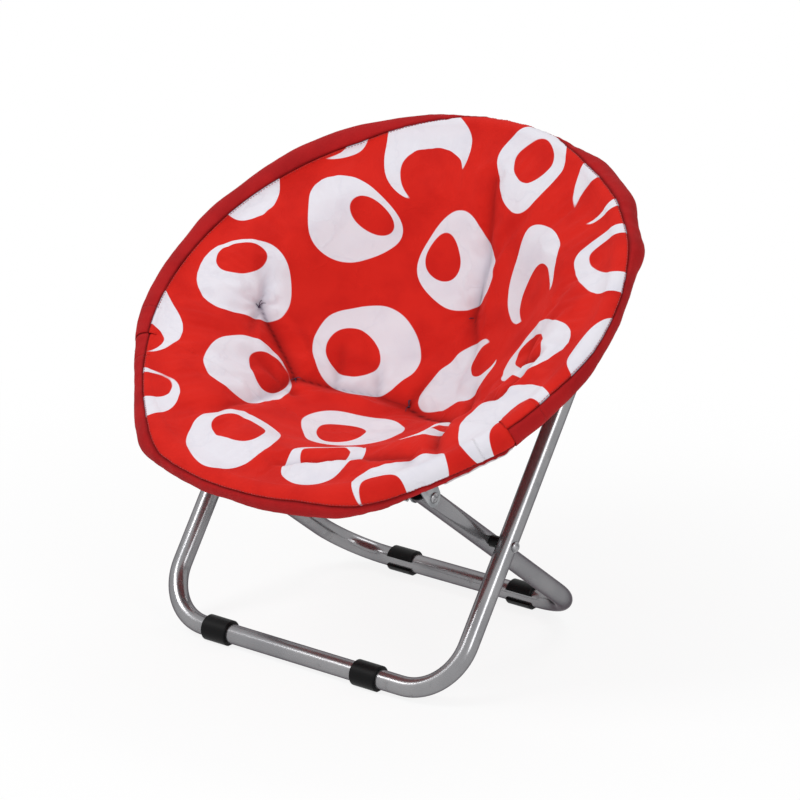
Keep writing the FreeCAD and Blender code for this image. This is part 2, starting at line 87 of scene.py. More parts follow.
class Wire:
    """A socket of a node tree whose value can be reckoned with. Each sum adds a node."""

    def __init__(self, tree, socket=None):
        self.tree = tree
        self.socket = socket

    def node(self, kind, settings=None, sockets=None, output=0):
        """Add a node with its settings and its sockets' values, and return one output."""
        made = self.tree.nodes.new(kind)
        for name, value in (settings or {}).items():
            setattr(made, name, value)
        for name, value in (sockets or {}).items():
            if isinstance(value, Wire):
                self.tree.links.new(value.socket, made.inputs[name])
            else:
                made.inputs[name].default_value = value
        return Wire(self.tree, made.outputs[output]) if len(made.outputs) else made

    def maths(self, operation, *values):
        return self.node("ShaderNodeMath", {"operation": operation}, dict(enumerate(values)))

    def vector(self, operation, sockets=None, output=0):
        sockets = {0: self, **(sockets or {})}
        return self.node("ShaderNodeVectorMath", {"operation": operation}, sockets, output)

    def __add__(self, other):
        return self.maths("ADD", self, other)

    def __sub__(self, other):
        return self.maths("SUBTRACT", self, other)

    def __mul__(self, other):
        return self.maths("MULTIPLY", self, other)

    def __truediv__(self, other):
        return self.maths("DIVIDE", self, other)

    def __rsub__(self, other):
        return self.maths("SUBTRACT", other, self)

    def __abs__(self):
        return self.maths("ABSOLUTE", self)

    __radd__ = __add__
    __rmul__ = __mul__


def lowest(first, second):
    return first.maths("MINIMUM", first, second)


def highest(first, second):
    return first.maths("MAXIMUM", first, second)


def blended(factor, first, second):
    """A colour that goes from the first to the second as the factor goes from 0 to 1."""
    return factor.node("ShaderNodeMix", {"data_type": "RGBA"}, {0: factor, 6: first, 7: second}, 2)


def rising(value, low, high):
    """0 where a value is below low, 1 where it is above high, smooth between."""
    return value.node("ShaderNodeMapRange", {"interpolation_type": "SMOOTHSTEP"},
                      {"Value": value, "From Min": low, "From Max": high})


def cloud(place, scale, detail=3.0, output="Fac"):
    return place.node("ShaderNodeTexNoise", None,
                      {"Vector": place, "Scale": scale, "Detail": detail}, output)


def raised(height, strength, distance, under=None):
    """A bump from a height, on top of another bump where one is given."""
    sockets = {"Height": height, "Strength": strength, "Distance": distance}
    if under is not None:
        sockets["Normal"] = under
    return height.node("ShaderNodeBump", None, sockets)


def part_of(vector, letter):
    return vector.node("ShaderNodeSeparateXYZ", None, {"Vector": vector}, letter)


def grey(value):
    return (value, value, value, 1.0)


def new_material(name, fixed):
    """A material with one shader, whose plain sockets hold fixed values, its board, and the
    signal of the place on the object."""
    material = bpy.data.materials.new(name)
    material.use_nodes = True
    board = Wire(material.node_tree)
    board.shader = material.node_tree.nodes["Principled BSDF"]
    for socket, value in fixed.items():
        board.shader.inputs[socket].default_value = value
    return material, board, board.node("ShaderNodeTexCoord", None, None, "Object")


def feed(board, **signals):
    """Link signals to the shader's sockets, named with low lines for spaces."""
    for name, signal in signals.items():
        board.tree.links.new(signal.socket, board.shader.inputs[name.replace("_", " ")])


def seen_rays(board):
    """1 for what the camera sees, straight, in a mirror or through glass, and else 0."""
    rays = [board.node("ShaderNodeLightPath", None, None, kind + " Ray")
            for kind in ("Is Camera", "Is Glossy", "Is Transmission")]
    return lowest(rays[0] + rays[1] + rays[2], 1.0)


floor_size = 40.0
floor_drop = 0.0004
floor_fade = (0.25, 1.1)
floor_shadow_share = 0.14
floor_material, board, spot = new_material("studio_floor", {"Roughness": 0.9})
feed(board, Base_Color=blended(cloud(spot, 0.4), grey(0.93), grey(0.95)))
from_middle = spot.vector("LENGTH", output="Value")
whitened = 1.0 - floor_shadow_share * (1.0 - rising(from_middle, *floor_fade))
white_light = board.node("ShaderNodeEmission", None, {"Color": grey(1.0), "Strength": 1.0})
floor_mix = board.node("ShaderNodeMixShader", None, {"Fac": seen_rays(board) * whitened, 2: white_light})
board.tree.links.new(board.shader.outputs[0], floor_mix.socket.node.inputs[1])
board.tree.links.new(floor_mix.socket, board.tree.nodes["Material Output"].inputs["Surface"])
bpy.ops.mesh.primitive_plane_add(size=floor_size, location=(0, 0, -floor_drop))
floor = bpy.context.object
floor.name = "studio_floor"
floor.data.materials.append(floor_material)

world = bpy.data.worlds.new("studio_world")
world.use_nodes = True
world.node_tree.nodes.clear()
board = Wire(world.node_tree)
world_light = 0.40
world_strength = seen_rays(board) * (1.0 - world_light) + world_light
background = board.node("ShaderNodeBackground", None, {"Color": grey(1.0), "Strength": world_strength})
board.node("ShaderNodeOutputWorld", None, {"Surface": background})
bpy.context.scene.world = world

lamp_distance = 3.0
lamps = {"key_lamp": (-32, 46, (1.1, 1.1), 40), "side_lamp": (66, 28, (0.7, 1.9), 24),
         "back_lamp": (190, 55, (1.6, 0.8), 18)}
for name, (azimuth, elevation, size, watts) in lamps.items():
    lamp_data = bpy.data.lights.new(name, "AREA")
    lamp_data.shape = "RECTANGLE"
    lamp_data.size, lamp_data.size_y = size
    lamp_data.energy = watts
    aimed(name, lamp_data, azimuth, elevation, lamp_distance)


# The leg frames: two U-shaped frames of bent round steel tube under silver lacquer.
# Both ends of each are pressed flatter on their sides, so that the brackets take them.
tube_radius = 0.0125
tube_bend = 0.070
bend_steps = 24
tube_step = 0.005
tube_sides = 56
press_run = 0.066
press_full = 0.034
pressed_half = 0.0095
leg_end = 0.015
lacquer_dark = (0.252, 0.252, 0.262, 1)
lacquer_light = (0.305, 0.304, 0.312, 1)
lacquer_worn = (0.17, 0.17, 0.175, 1)

leg_lacquer, board, spot = new_material("silver_lacquer", {
    "Metallic": 0.80, "Specular IOR Level": 0.2, "Specular Tint": (0.16, 0.13, 0.15, 1)})
tone = cloud(spot, 14.0)
speck = cloud(spot, 900.0, 2.0)
scuff = rising(cloud(spot, 55.0, 6.0), 0.60, 0.74)
feed(board,
     Base_Color=blended(scuff * 0.35, blended(rising(tone, 0.3, 0.7), lacquer_dark, lacquer_light),
                        lacquer_worn),
     Roughness=0.19 + scuff * 0.12 + tone * 0.06,
     Normal=raised(speck, 0.06, 0.0002))


def shown(name, data):
    """A new object that holds a mesh or a curve."""
    piece = bpy.data.objects.new(name, data)
    bpy.context.scene.collection.objects.link(piece)
    return piece


def settled(source):
    """The plain mesh that an object's modifiers make of it. The object is removed."""
    bpy.context.view_layer.update()
    mesh = bpy.data.meshes.new_from_object(source.evaluated_get(bpy.context.evaluated_depsgraph_get()))
    bpy.data.objects.remove(source)
    return mesh


def planned(name, sizes):
    """An empty geometry tree's board, and signals for the geometry and each named size."""
    tree = bpy.data.node_groups.new(name, "GeometryNodeTree")
    for socket, kind in {"Geometry": "Geometry", **sizes}.items():
        tree.interface.new_socket(socket, in_out="INPUT", socket_type="NodeSocket" + kind)
    tree.interface.new_socket("Geometry", in_out="OUTPUT", socket_type="NodeSocketGeometry")
    node = tree.nodes.new("NodeGroupInput")
    return Wire(tree), {socket: Wire(tree, node.outputs[socket]) for socket in ["Geometry", *sizes]}


def grown(name, source, board, values):
    """The plain mesh that a geometry tree makes from an object, as a new object."""
    modifier = source.modifiers.new("plan", "NODES")
    modifier.node_group = board.tree
    for item in board.tree.interface.items_tree:
        if item.in_out == "INPUT" and item.name in values:
            modifier[item.identifier] = values[item.name]
    mesh = settled(source)
    mesh.name = name
    return shown(name, mesh)


def finish_plan(board, geometry, material):
    """The last nodes of every tree: real copies, then the material."""
    real = board.node("GeometryNodeRealizeInstances", None, {"Geometry": geometry})
    painted = board.node("GeometryNodeSetMaterial", None, {"Geometry": real, "Material": material})
    output = board.tree.nodes.new("NodeGroupOutput")
    board.tree.links.new(painted.socket, output.inputs["Geometry"])


leg_plan, given = planned("pressed_tube", {
    "Tube radius": "Float", "Half width": "Float", "Pressed half": "Float", "Pivot": "Vector",
    "Along": "Vector", "Press run": "Float", "Press full": "Float", "Step": "Float"})
line = leg_plan.node("GeometryNodeResampleCurve", {"mode": "LENGTH"},
                    {"Curve": given["Geometry"], "Length": given["Step"]})
ring = leg_plan.node("GeometryNodeCurvePrimitiveCircle", None,
                    {"Resolution": tube_sides, "Radius": given["Tube radius"]})
tube = leg_plan.node("GeometryNodeCurveToMesh", None,
                    {"Curve": line, "Profile Curve": ring, "Fill Caps": True})
here = leg_plan.node("GeometryNodeInputPosition")
from_pivot = here.vector("SUBTRACT", {1: given["Pivot"]})
along = from_pivot.vector("DOT_PRODUCT", {1: given["Along"]}, "Value")
here_x, here_y, here_z = [part_of(here, letter) for letter in "XYZ"]
side = here_x.maths("SIGN", here_x)
across = abs(here_x) - given["Half width"]
press_start = (given["Press run"] + given["Press full"]) * -1.0
pressed = leg_plan.node("ShaderNodeMapRange", None, {
    "Value": along, "From Min": press_start, "From Max": given["Press full"] * -1.0,
    "To Min": given["Tube radius"], "To Max": given["Pressed half"]})
across = highest(lowest(across, pressed), pressed * -1.0)
narrow_x = side * (given["Half width"] + across)
narrow = leg_plan.node("ShaderNodeCombineXYZ", None, {"X": narrow_x, "Y": here_y, "Z": here_z})
on_press = along.maths("GREATER_THAN", along, press_start)
tube = leg_plan.node("GeometryNodeSetPosition", None,
                    {"Geometry": tube, "Selection": on_press, "Position": narrow})
tube = leg_plan.node("GeometryNodeSetShadeSmooth", None, {"Geometry": tube})
finish_plan(leg_plan, tube, leg_lacquer)

joint_place = {joint["name"]: Vector(joint["pos_m"]) for joint in frame["joints"]}


def thin_line(name, points):
    """A curve that runs straight from each point to the next."""
    curve = bpy.data.curves.new(name, "CURVE")
    curve.dimensions = "3D"
    spline = curve.splines.new("POLY")
    spline.points.add(len(points) - 1)
    for point, place in zip(spline.points, points):
        point.co = (*place, 1.0)
    return shown(name, curve)


def leg_line(node, floor_side, pivot):
    """The middle line of a U-shaped leg, from one end over the floor bar to the other."""
    low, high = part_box(node)
    half_width = high.x - tube_radius
    bar_y = low.y + tube_radius if floor_side < 0 else high.y - tube_radius
    bar = Vector((0, bar_y, low.z + tube_radius))
    rise = Vector((0, pivot.y, pivot.z)) - bar
    up = rise.normalized()
    top = rise.length + leg_end
    points = [(-half_width, top)]
    for turn in range(bend_steps + 1):
        angle = math.pi / 2 * turn / bend_steps
        points.append((tube_bend * (1 - math.cos(angle)) - half_width, tube_bend * (1 - math.sin(angle))))
    points += [(-x, s) for x, s in reversed(points)]
    middle_line = thin_line(node + "_line", [bar + Vector((x, 0, 0)) + up * s for x, s in points])
    return middle_line, half_width, up


leg_half = {}
for node, floor_side, joint in (("front_leg_frame", -1, "back_pivot"),
                                ("rear_leg_frame", 1, "front_pivot")):
    middle_line, leg_half[node], up = leg_line(node, floor_side, joint_place[joint])
    leg = grown(node.replace("frame", "tube"), middle_line, leg_plan, {
        "Tube radius": tube_radius, "Half width": leg_half[node], "Pressed half": pressed_half,
        "Pivot": joint_place[joint], "Along": up, "Press run": press_run,
        "Press full": press_full, "Step": tube_step})
    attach(leg, "front_legs" if floor_side < 0 else "rear_legs")
    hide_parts(node)


# The small metal and plastic pieces: brackets folded from sheet, riveted joints, hinge
# plates and moulded caps. Each is the construction's own shape with its edges rounded.
edge_round = {"bracket": 0.0007, "knuckle": 0.0006, "plug": 0.0008, "spacer": 0.0008, "washer": 0.0003}
merge_reach = 0.00002
flat_angle = math.radians(1)
sharp_angle = math.radians(32)
zinc_tones = ((0.27, 0.28, 0.29, 1), (0.42, 0.43, 0.44, 1))
steel_tones = ((0.15, 0.15, 0.16, 1), (0.36, 0.36, 0.37, 1))
plastic_tones = ((0.0022, 0.0023, 0.0026, 1), (0.0045, 0.0045, 0.0050, 1))

bracket_zinc, board, spot = new_material(
    "bracket_zinc", {"Metallic": 1.0, "Specular Tint": (0.30, 0.30, 0.32, 1)})
grain = cloud(spot, 420.0, 4.0)
feed(board,
     Base_Color=blended(rising(cloud(spot, 60.0), 0.3, 0.72), *zinc_tones),
     Roughness=0.22 + grain * 0.16,
     Normal=raised(grain, 0.10, 0.0003))

rivet_steel, board, spot = new_material("rivet_steel", {"Metallic": 1.0})
dents = cloud(spot, 260.0, 2.0)
feed(board,
     Base_Color=blended(rising(dents, 0.35, 0.65), *steel_tones),
     Roughness=0.20 + dents * 0.2,
     Normal=raised(dents, 0.55, 0.0010))

black_plastic, board, spot = new_material("black_plastic", {"Specular IOR Level": 0.11})
grit = cloud(spot, 700.0, 2.0)
feed(board,
     Base_Color=blended(cloud(spot, 40.0), *plastic_tones),
     Roughness=0.34 + grit * 0.22,
     Normal=raised(grit, 0.12, 0.0003))


def rounded_copy(node, width):
    """A copy of a construction piece whose sharp edges get a small round."""
    mesh = frame["nodes"][node].data.copy()
    shape = bmesh.new()
    shape.from_mesh(mesh)
    bmesh.ops.remove_doubles(shape, verts=shape.verts, dist=merge_reach)
    bmesh.ops.dissolve_limit(shape, angle_limit=flat_angle, verts=shape.verts, edges=shape.edges)
    shape.to_mesh(mesh)
    shape.free()
    source = shown(node + "_rounding", mesh)
    bevel = source.modifiers.new("round", "BEVEL")
    bevel.width = width
    bevel.segments = 3
    bevel.limit_method = "ANGLE"
    bevel.angle_limit = sharp_angle
    bevel.use_clamp_overlap = True
    done = settled(source)
    done.shade_smooth()
    return done


finish_of = {"bracket_steel": bracket_zinc, "rivet_steel": rivet_steel,
             "black_plastic": black_plastic, "leg_paint": leg_lacquer}
slot_of = {part["node"]: part["material_slot"] for part in frame["record"]["subparts"]}
body_of = {node: body for body, nodes in frame["record"]["behaviour"]["bodies"].items() for node in nodes}


def dress(piece, node):
    """Give a piece the finish that its node's slot calls for, and the body of the node that it stands for."""
    piece.data.materials.clear()
    piece.data.materials.append(finish_of[slot_of[node]])
    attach(piece, body_of[node])
    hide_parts(node)


left_sharp = ("cover", "sleeve", "rivets", "screws")
for node in frame["nodes"]:
    kinds = [word for word in edge_round if word in node]
    if kinds and not any(word in node for word in left_sharp):
        dress(shown(node + "_rounded", rounded_copy(node, edge_round[kinds[0]])), node)

for node in frame["nodes"]:
    if slot_of[node] in finish_of:
        mesh = frame["nodes"][node].data
        mesh.materials.clear()
        mesh.materials.append(finish_of[slot_of[node]])


# The foot clips: black plastic sleeves that snap round the floor bars. Each has a slot
# along one side and a flat underside that the chair stands on.
clip_wall = 0.003
clip_slot_half = 0.0065
clip_steps = 40
clip_chamfer = 0.0014
clip_lead = 0.93
clip_slack = (0.0001, 0.001)
clip_smooth_angle = math.radians(34)


def skin(shape, rings):
    """Faces from each ring of corners to the next. A ring of one corner is a pole."""
    for first, second in zip(rings, rings[1:]):
        sides = max(len(first), len(second))
        for k in range(sides):
            n = (k + 1) % sides
            corners = (first[k % len(first)], first[n % len(first)],
                       second[n % len(second)], second[k % len(second)])
            shape.faces.new(list(dict.fromkeys(corners)))


def mesh_of(name, shape, *materials):
    """The mesh of a shape, with its materials. The shape is used up."""
    mesh = bpy.data.meshes.new(name)
    shape.to_mesh(mesh)
    shape.free()
    for material in materials:
        mesh.materials.append(material)
    return mesh


def closed_mesh(name, shape, *materials):
    """The mesh of a closed shape, with its faces turned outwards."""
    bmesh.ops.recalc_face_normals(shape, faces=shape.faces)
    return mesh_of(name, shape, *materials)


def clip_outline(bar_y, bar_z, opening):
    """The clip's section in y and z, from one lip of the slot round to the other."""
    outer = tube_radius + clip_wall + clip_slack[1]
    inner = tube_radius + clip_slack[0]
    start = math.asin(clip_slot_half / outer)
    outside, inside = [], []
    for step in range(clip_steps + 1):
        angle = start + (2 * math.pi - 2 * start) * step / clip_steps
        y, z = opening * math.cos(angle), math.sin(angle)
        outside.append((bar_y + outer * y, max(bar_z + outer * z, 0.0)))
        inside.append((bar_y + inner * y, bar_z + inner * z))
    return outside + inside[::-1]


def clip_mesh(name, node, opening):
    low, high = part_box(node)
    legs = "front_leg_frame" if opening > 0 else "rear_leg_frame"
    leg_low, leg_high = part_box(legs)
    bar_y = leg_low.y + tube_radius if opening > 0 else leg_high.y - tube_radius
    bar_z = leg_low.z + tube_radius
    outline = clip_outline(bar_y, bar_z, opening)
    count = len(outline)
    shape = bmesh.new()
    stations = (low.x, low.x + clip_chamfer, high.x - clip_chamfer, high.x)
    rings = []
    for station, shrink in zip(stations, (clip_lead, 1.0, 1.0, clip_lead)):
        ring = []
        for index, (y, z) in enumerate(outline):
            share = shrink if index < count // 2 else 1.0
            dy, dz = y - bar_y, z - bar_z
            ring.append(shape.verts.new((station, bar_y + dy * share, max(bar_z + dz * share, 0.0))))
        rings.append(ring)
    skin(shape, rings)
    half = count // 2
    for ring in (rings[0], rings[-1]):
        for a in range(half - 1):
            shape.faces.new((ring[a], ring[a + 1], ring[count - 2 - a], ring[count - 1 - a]))
    return closed_mesh(name, shape)


for end in ("front", "rear"):
    for side in ("left", "right"):
        node = f"{end}_foot_clip_{side}"
        name = f"{end}_bar_clip_{side}"
        clip = shown(name, clip_mesh(name, node, 1 if end == "front" else -1))
        bpy.context.view_layer.objects.active = clip
        clip.select_set(True)
        bpy.ops.object.shade_smooth_by_angle(angle=clip_smooth_angle)
        clip.select_set(False)
        dress(clip, node)


# The rivets: each head is turned once and set at every place it is used, so
# that all are alike. Rivet heads are domed. The screws are left as the construction gives them.
rivet_shank = 0.004
rivet_head = 0.007
rivet_rise = 0.003
dome_steps = 9
turned_sides = 40
pole_radius = 1e-6
bracket_half = 0.0141


def turned(outline, sides=turned_sides):
    """A closed shape turned round the X axis from a line of (x, radius) points."""
    shape = bmesh.new()
    rings = []
    for x, radius in outline:
        if radius < pole_radius:
            rings.append([shape.verts.new((x, 0, 0))])
            continue
        angles = [2 * math.pi * k / sides for k in range(sides)]
        rings.append([shape.verts.new((x, radius * math.cos(a), radius * math.sin(a))) for a in angles])
    skin(shape, rings)
    mesh = closed_mesh("turned", shape)
    mesh.shade_smooth()
    return mesh


def dome(x, outward, radius=rivet_head, rise=rivet_rise):
    """The line of a domed head, from its middle to its rim, standing on the plane x."""
    angles = [math.pi / 2 * k / dome_steps for k in range(dome_steps + 1)]
    return [(x + outward * rise * math.cos(a), radius * math.sin(a)) for a in angles]


place_plan, given = planned("set_pieces", {"Piece": "Object", "Scale": "Float"})
turn = place_plan.node("GeometryNodeInputNamedAttribute", {"data_type": "FLOAT_VECTOR"}, {"Name": "turn"})
piece_shape = place_plan.node("GeometryNodeObjectInfo", None, {"Object": given["Piece"]}, "Geometry")
turned_by = place_plan.node("FunctionNodeEulerToRotation", None, {"Euler": turn})
copies = place_plan.node("GeometryNodeInstanceOnPoints", None, {
    "Points": given["Geometry"], "Instance": piece_shape, "Rotation": turned_by, "Scale": given["Scale"]})
finish_plan(place_plan, copies, rivet_steel)


def set_pieces(name, mesh, places):
    """Copies of a mesh at each (place, turn), made one plain object."""
    original = shown(name + "_original", mesh)
    points = bpy.data.meshes.new(name + "_places")
    points.from_pydata([place for place, _ in places], [], [])
    turns = points.attributes.new("turn", "FLOAT_VECTOR", "POINT")
    turns.data.foreach_set("vector", [angle for _, euler in places for angle in euler])
    holder = shown(name + "_places", points)
    made = grown(name, holder, place_plan, {"Piece": original, "Scale": 1.0})
    bpy.data.objects.remove(original)
    return made


bracket_rivet = turned(dome(bracket_half, 1) + [(bracket_half, rivet_shank), (-bracket_half, rivet_shank)]
                       + dome(-bracket_half, -1)[::-1])
for node, joint, leg in (("back_bracket_rivets", "back_pivot", "front_leg_frame"),
                         ("front_bracket_rivets", "front_pivot", "rear_leg_frame")):
    pivot = joint_place[joint]
    places = [((side * leg_half[leg], pivot.y, pivot.z), (0, 0, 0)) for side in (-1, 1)]
    dress(set_pieces(node.replace("rivets", "rivet_set"), bracket_rivet.copy(), places), node)


# The hoop: where its middle, radius and tilt are, read from the tube of its back half.
# x runs sideways, v up its slope and w out of the bowl, all from the middle of the hoop.
hoop_tube_radius = 0.011
hoop_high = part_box("back_hoop_tube")[1]
hoop_radius = hoop_high.x - hoop_tube_radius
hoop_tilt = math.acos((hoop_high.y - hoop_tube_radius) / hoop_radius)
hoop_middle_z = hoop_high.z - hoop_tube_radius - hoop_radius * math.sin(hoop_tilt)
hoop_up = Vector((0, math.cos(hoop_tilt), math.sin(hoop_tilt)))
hoop_out = Vector((0, -math.sin(hoop_tilt), math.cos(hoop_tilt)))
hoop_middle = Vector((0, 0, hoop_middle_z))
hoop_axes = np.array([(1, 0, 0), tuple(hoop_up), tuple(hoop_out)])
hinge_v = (joint_place["seat_fold"] - hoop_middle).dot(hoop_up)


def from_hoop(points):
    """Where points given as x, v and w in the hoop's frame lie in the chair's."""
    return np.asarray(points) @ hoop_axes + np.array(hoop_middle)


# The seam: the printed cover is wrapped over the hoop's tube and sewn to a plain sleeve.
# How far it reaches round the tube wanders, because the slack cloth has crept on the hoop.
# Each pair gives a place round the hoop and the seam's place round the tube, in degrees.
back_seam_places = ((-30, 57), (-14, 54), (0, 34), (16, 34), (45, 66), (60, 88), (70, 76), (79, 30),
                    (93, 40), (105, 92), (128, 138), (150, 134), (180, 122), (206, 110))
front_seam_places = ((-207, 110), (-172, 104), (-158, 122), (-148, 112), (-135, 87), (-122, 58),
                     (-114, 30), (-90, 46), (-75, 40), (-62, 12), (-45, -4), (-22, -25))
print_radius = 0.0166
plain_radius = 0.0170
sleeve_least = 0.0122
window_radius = 0.0104
print_end = math.radians(172)
lift_least = math.radians(127)
lift_past_seam = math.radians(8)
slack_scale = (9, 0.35)
slack_heights = (0.0013, 0.0004)
pucker_scale = (95, 0.9)
pucker_heights = (0.0024, 0.0012)
fine_scale = (210, 2.0)
fine_height = 0.0007
gather_reach = math.radians(38)
seam_dip = 0.0021
seam_dip_reach = math.radians(5)
hem_lap = 0.0035
hem_reach = 0.006
hem_under = -0.0019
hem_over = 0.0004
window_half = 0.0185
window_w = -0.0085
window_fade = (0.002, 0.0015)


def seam_angle(angle, on_back):
    """Where the seam lies round the tube at a place round the hoop, both in radians."""
    degrees = np.degrees(angle)
    back = np.interp(np.where(degrees < -90, degrees + 360, degrees), *zip(*back_seam_places))
    front = np.interp(np.where(degrees > 90, degrees - 360, degrees), *zip(*front_seam_places))
    return np.radians(np.where(on_back, back, front))


def lift_angle(angle, on_back):
    """Where the cover leaves the tube for the bowl, on the tube's inner side."""
    return np.maximum(lift_least, seam_angle(angle, on_back) + lift_past_seam)


def noise_over(x, y, z):
    """Smooth noise at many places. Any of the three may be one number for them all."""
    return np.array([noise.noise(Vector(place)) for place in np.broadcast(x, y, z)])


def wrapped(angle):
    """An angle in radians, brought between minus and plus half a turn."""
    return (angle + math.pi) % (2 * math.pi) - math.pi


# How far the slack cloth stands off the hoop's outer side, in mm, at places round the hoop
slack_places = ((-180, 5), (-170, 6), (-160, 4), (-151, -3), (-144, -5), (-138, -3), (-130, 6),
                (-121, 17), (-113, 8), (-104, 3), (-95, -1), (-86, 0), (-76, 4), (-65, 10), (-57, 8),
                (-50, 1), (-40, -2), (-33, 0), (-28, 3), (-20, 0), (-8, 1), (0, 0), (15, -1), (22, 0),
                (26, 4), (31, 13), (36, 7), (40, 6), (45, 12), (52, 9), (60, 6), (66, 1), (70, -4),
                (76, -5), (98, -5), (104, -3), (110, 1), (118, 2), (127, 7), (138, 10), (152, 10),
                (159, 7), (166, 11), (174, 6), (180, 5))
slack_spread = 1.3
slack_limits = (-0.0045, 0.020)
bracket_places = [(leg_half[leg], side) for leg in leg_half for side in (-1, 1)]


def slack_off(angle):
    """How far the cloth stands off the hoop's outer side, smoothed over a few degrees."""
    places, heights = zip(*slack_places)
    near = [np.interp(np.degrees(wrapped(angle + math.radians(shift))), places, heights)
            for shift in (-2, -1, 0, 1, 2)]
    return np.clip(np.mean(near, axis=0) * 0.001, *slack_limits)


def sleeve_radius(angle, turn, on_back):
    """The sleeve's radius at places round the hoop and round the tube, and how near the
    seam is, from 0 to 1."""
    arc = angle * hoop_radius
    seam = seam_angle(angle, on_back)
    from_seam = np.abs(wrapped(turn - seam))
    plain = (turn < seam) | (turn > print_end)
    across, up = np.cos(angle), np.sin(angle)
    slack = noise_over(across * slack_scale[0], up * slack_scale[0], turn * slack_scale[1])
    pucker = noise_over(arc * pucker_scale[0], turn * pucker_scale[1], 3.0)
    fine = noise_over(arc * fine_scale[0], turn * fine_scale[1], 8.0)
    gather = np.exp(-from_seam / gather_reach)
    at_seam = np.exp(-(from_seam / seam_dip_reach) ** 2)
    radius = np.where(plain, plain_radius, print_radius)
    radius += np.where(plain, *slack_heights) * slack
    radius += (np.where(plain, *pucker_heights) * pucker + fine_height * fine) * gather
    radius -= seam_dip * at_seam
    radius += slack_off(angle) * np.exp(-(wrapped(turn) / slack_spread) ** 2)
    radius = np.maximum(radius, sleeve_least)
    x, v = across * hoop_radius, up * hoop_radius
    near_hem = np.clip((hem_reach - np.abs(v - hinge_v)) / (hem_reach - hem_lap), 0, 1)
    radius += np.where(on_back, hem_over, hem_under) * near_hem
    w = np.sin(turn) * print_radius
    for half_width, side in bracket_places:
        right_half = (up > 0) == (half_width == leg_half["front_leg_frame"])
        edge = np.clip((window_half - np.abs(x - side * half_width)) / window_fade[0], 0, 1)
        low = np.clip((window_w - w) / window_fade[1], 0, 1)
        radius += (window_radius - radius) * edge * low * right_half
    return radius, at_seam


# The seat cover: two layers of printed cotton canvas with wadding between them, quilted
# at six tufts and creased where the back meets the seat. It hangs in the hoop.
pad_line = ((0.0, -0.147), (0.018, -0.147), (0.045, -0.144), (0.075, -0.132), (0.120, -0.108),
            (0.165, -0.0755), (0.200, -0.041), (0.225, -0.0185), (0.245, -0.008), (0.262, -0.002))
pad_drop = 0.0010
pad_thickness = 0.0060
pad_wrap = 0.0425
pad_grid = 150
line_steps = 400
lip_steps = 7
tufts = ((-0.200, -0.009), (0.200, -0.009), (-0.128, -0.066), (0.128, -0.066), (0.0, -0.030),
         (0.028, 0.102))
tuft_depth = 0.0115
tuft_reach = 0.013
tuft_power = 1.1
tuft_ribs = 7
tuft_rib_height = 0.42
tuft_rib_reach = 0.045
fold_soft_share = 0.62
fold_power = 1.7
fold_core_reach = 0.3
crease_reach = 0.0052
crease_power = 1.3
puff_share = 0.24
puff_place = 1.7
puff_spread = 0.7
swell_scale = 9
swell_height = 0.0032
drag_height = 0.0024
pleat_scale = 8
pleat_height = 0.0045
short_scale = (34, 9)
short_height = 0.0020
pleats_from = 0.215
pleats_over = 0.045
under_sink = 0.72
under_pull = (0.8, 0.6, 0.5)
under_end = (-0.0145, -0.0010)
cover_proud = -0.0002

# The folds: where each starts and ends, how deep it is at both, and how far it reaches
folds = (
    (-0.200, -0.009, 0.0110, -0.128, -0.066, 0.0110, 0.013),
    (-0.128, -0.066, 0.0110, -0.045, -0.029, 0.0090, 0.015),
    (-0.045, -0.029, 0.0100, 0.000, -0.030, 0.0115, 0.015),
    (0.000, -0.030, 0.0115, 0.128, -0.066, 0.0115, 0.015),
    (0.128, -0.066, 0.0115, 0.221, -0.076, 0.0090, 0.012),
    (0.221, -0.076, 0.0090, 0.233, -0.007, 0.0085, 0.010),
    (0.200, -0.009, 0.0110, 0.233, -0.007, 0.0075, 0.010),
    (0.028, 0.102, 0.0110, 0.031, 0.161, 0.0085, 0.012),
    (0.031, 0.161, 0.0085, 0.020, 0.239, 0.0070, 0.012),
    (0.028, 0.102, 0.0110, 0.062, 0.050, 0.0025, 0.012),
    (-0.200, -0.009, 0.0110, -0.190, -0.052, 0.0040, 0.008),
    (-0.200, -0.009, 0.0110, -0.212, 0.034, 0.0025, 0.009),
    (-0.170, -0.080, 0.0030, -0.112, -0.094, 0.0080, 0.010),
    (-0.108, 0.004, 0.0030, -0.088, -0.048, 0.0080, 0.011),
    (-0.060, 0.012, 0.0020, -0.045, -0.029, 0.0090, 0.008),
    (0.000, -0.030, 0.0115, 0.008, 0.018, 0.0030, 0.009),
    (0.128, -0.066, 0.0115, 0.198, -0.180, 0.0095, 0.011),
    (0.198, -0.180, 0.0095, 0.206, -0.222, 0.0075, 0.010),
    (0.010, -0.255, 0.0050, 0.073, -0.214, 0.0095, 0.011),
    (0.073, -0.214, 0.0095, 0.172, -0.198, 0.0085, 0.011),
    (-0.128, -0.066, 0.0110, -0.124, -0.144, 0.0060, 0.013),
    (-0.124, -0.144, 0.0060, -0.126, -0.200, 0.0050, 0.013),
    (0.128, -0.066, 0.0115, 0.100, 0.004, 0.0030, 0.011),
    (0.200, -0.009, 0.0110, 0.186, 0.055, 0.0025, 0.010),
)

line_r = np.array([point[0] for point in pad_line])
line_w = np.array([point[1] for point in pad_line]) - pad_drop


def bridge(t, start, start_way, end, end_way):
    """A smooth line from a start to an end, leaving and arriving along given ways."""
    return ((2 * t ** 3 - 3 * t ** 2 + 1) * start + (t ** 3 - 2 * t ** 2 + t) * start_way
            + (3 * t ** 2 - 2 * t ** 3) * end + (t ** 3 - t ** 2) * end_way)


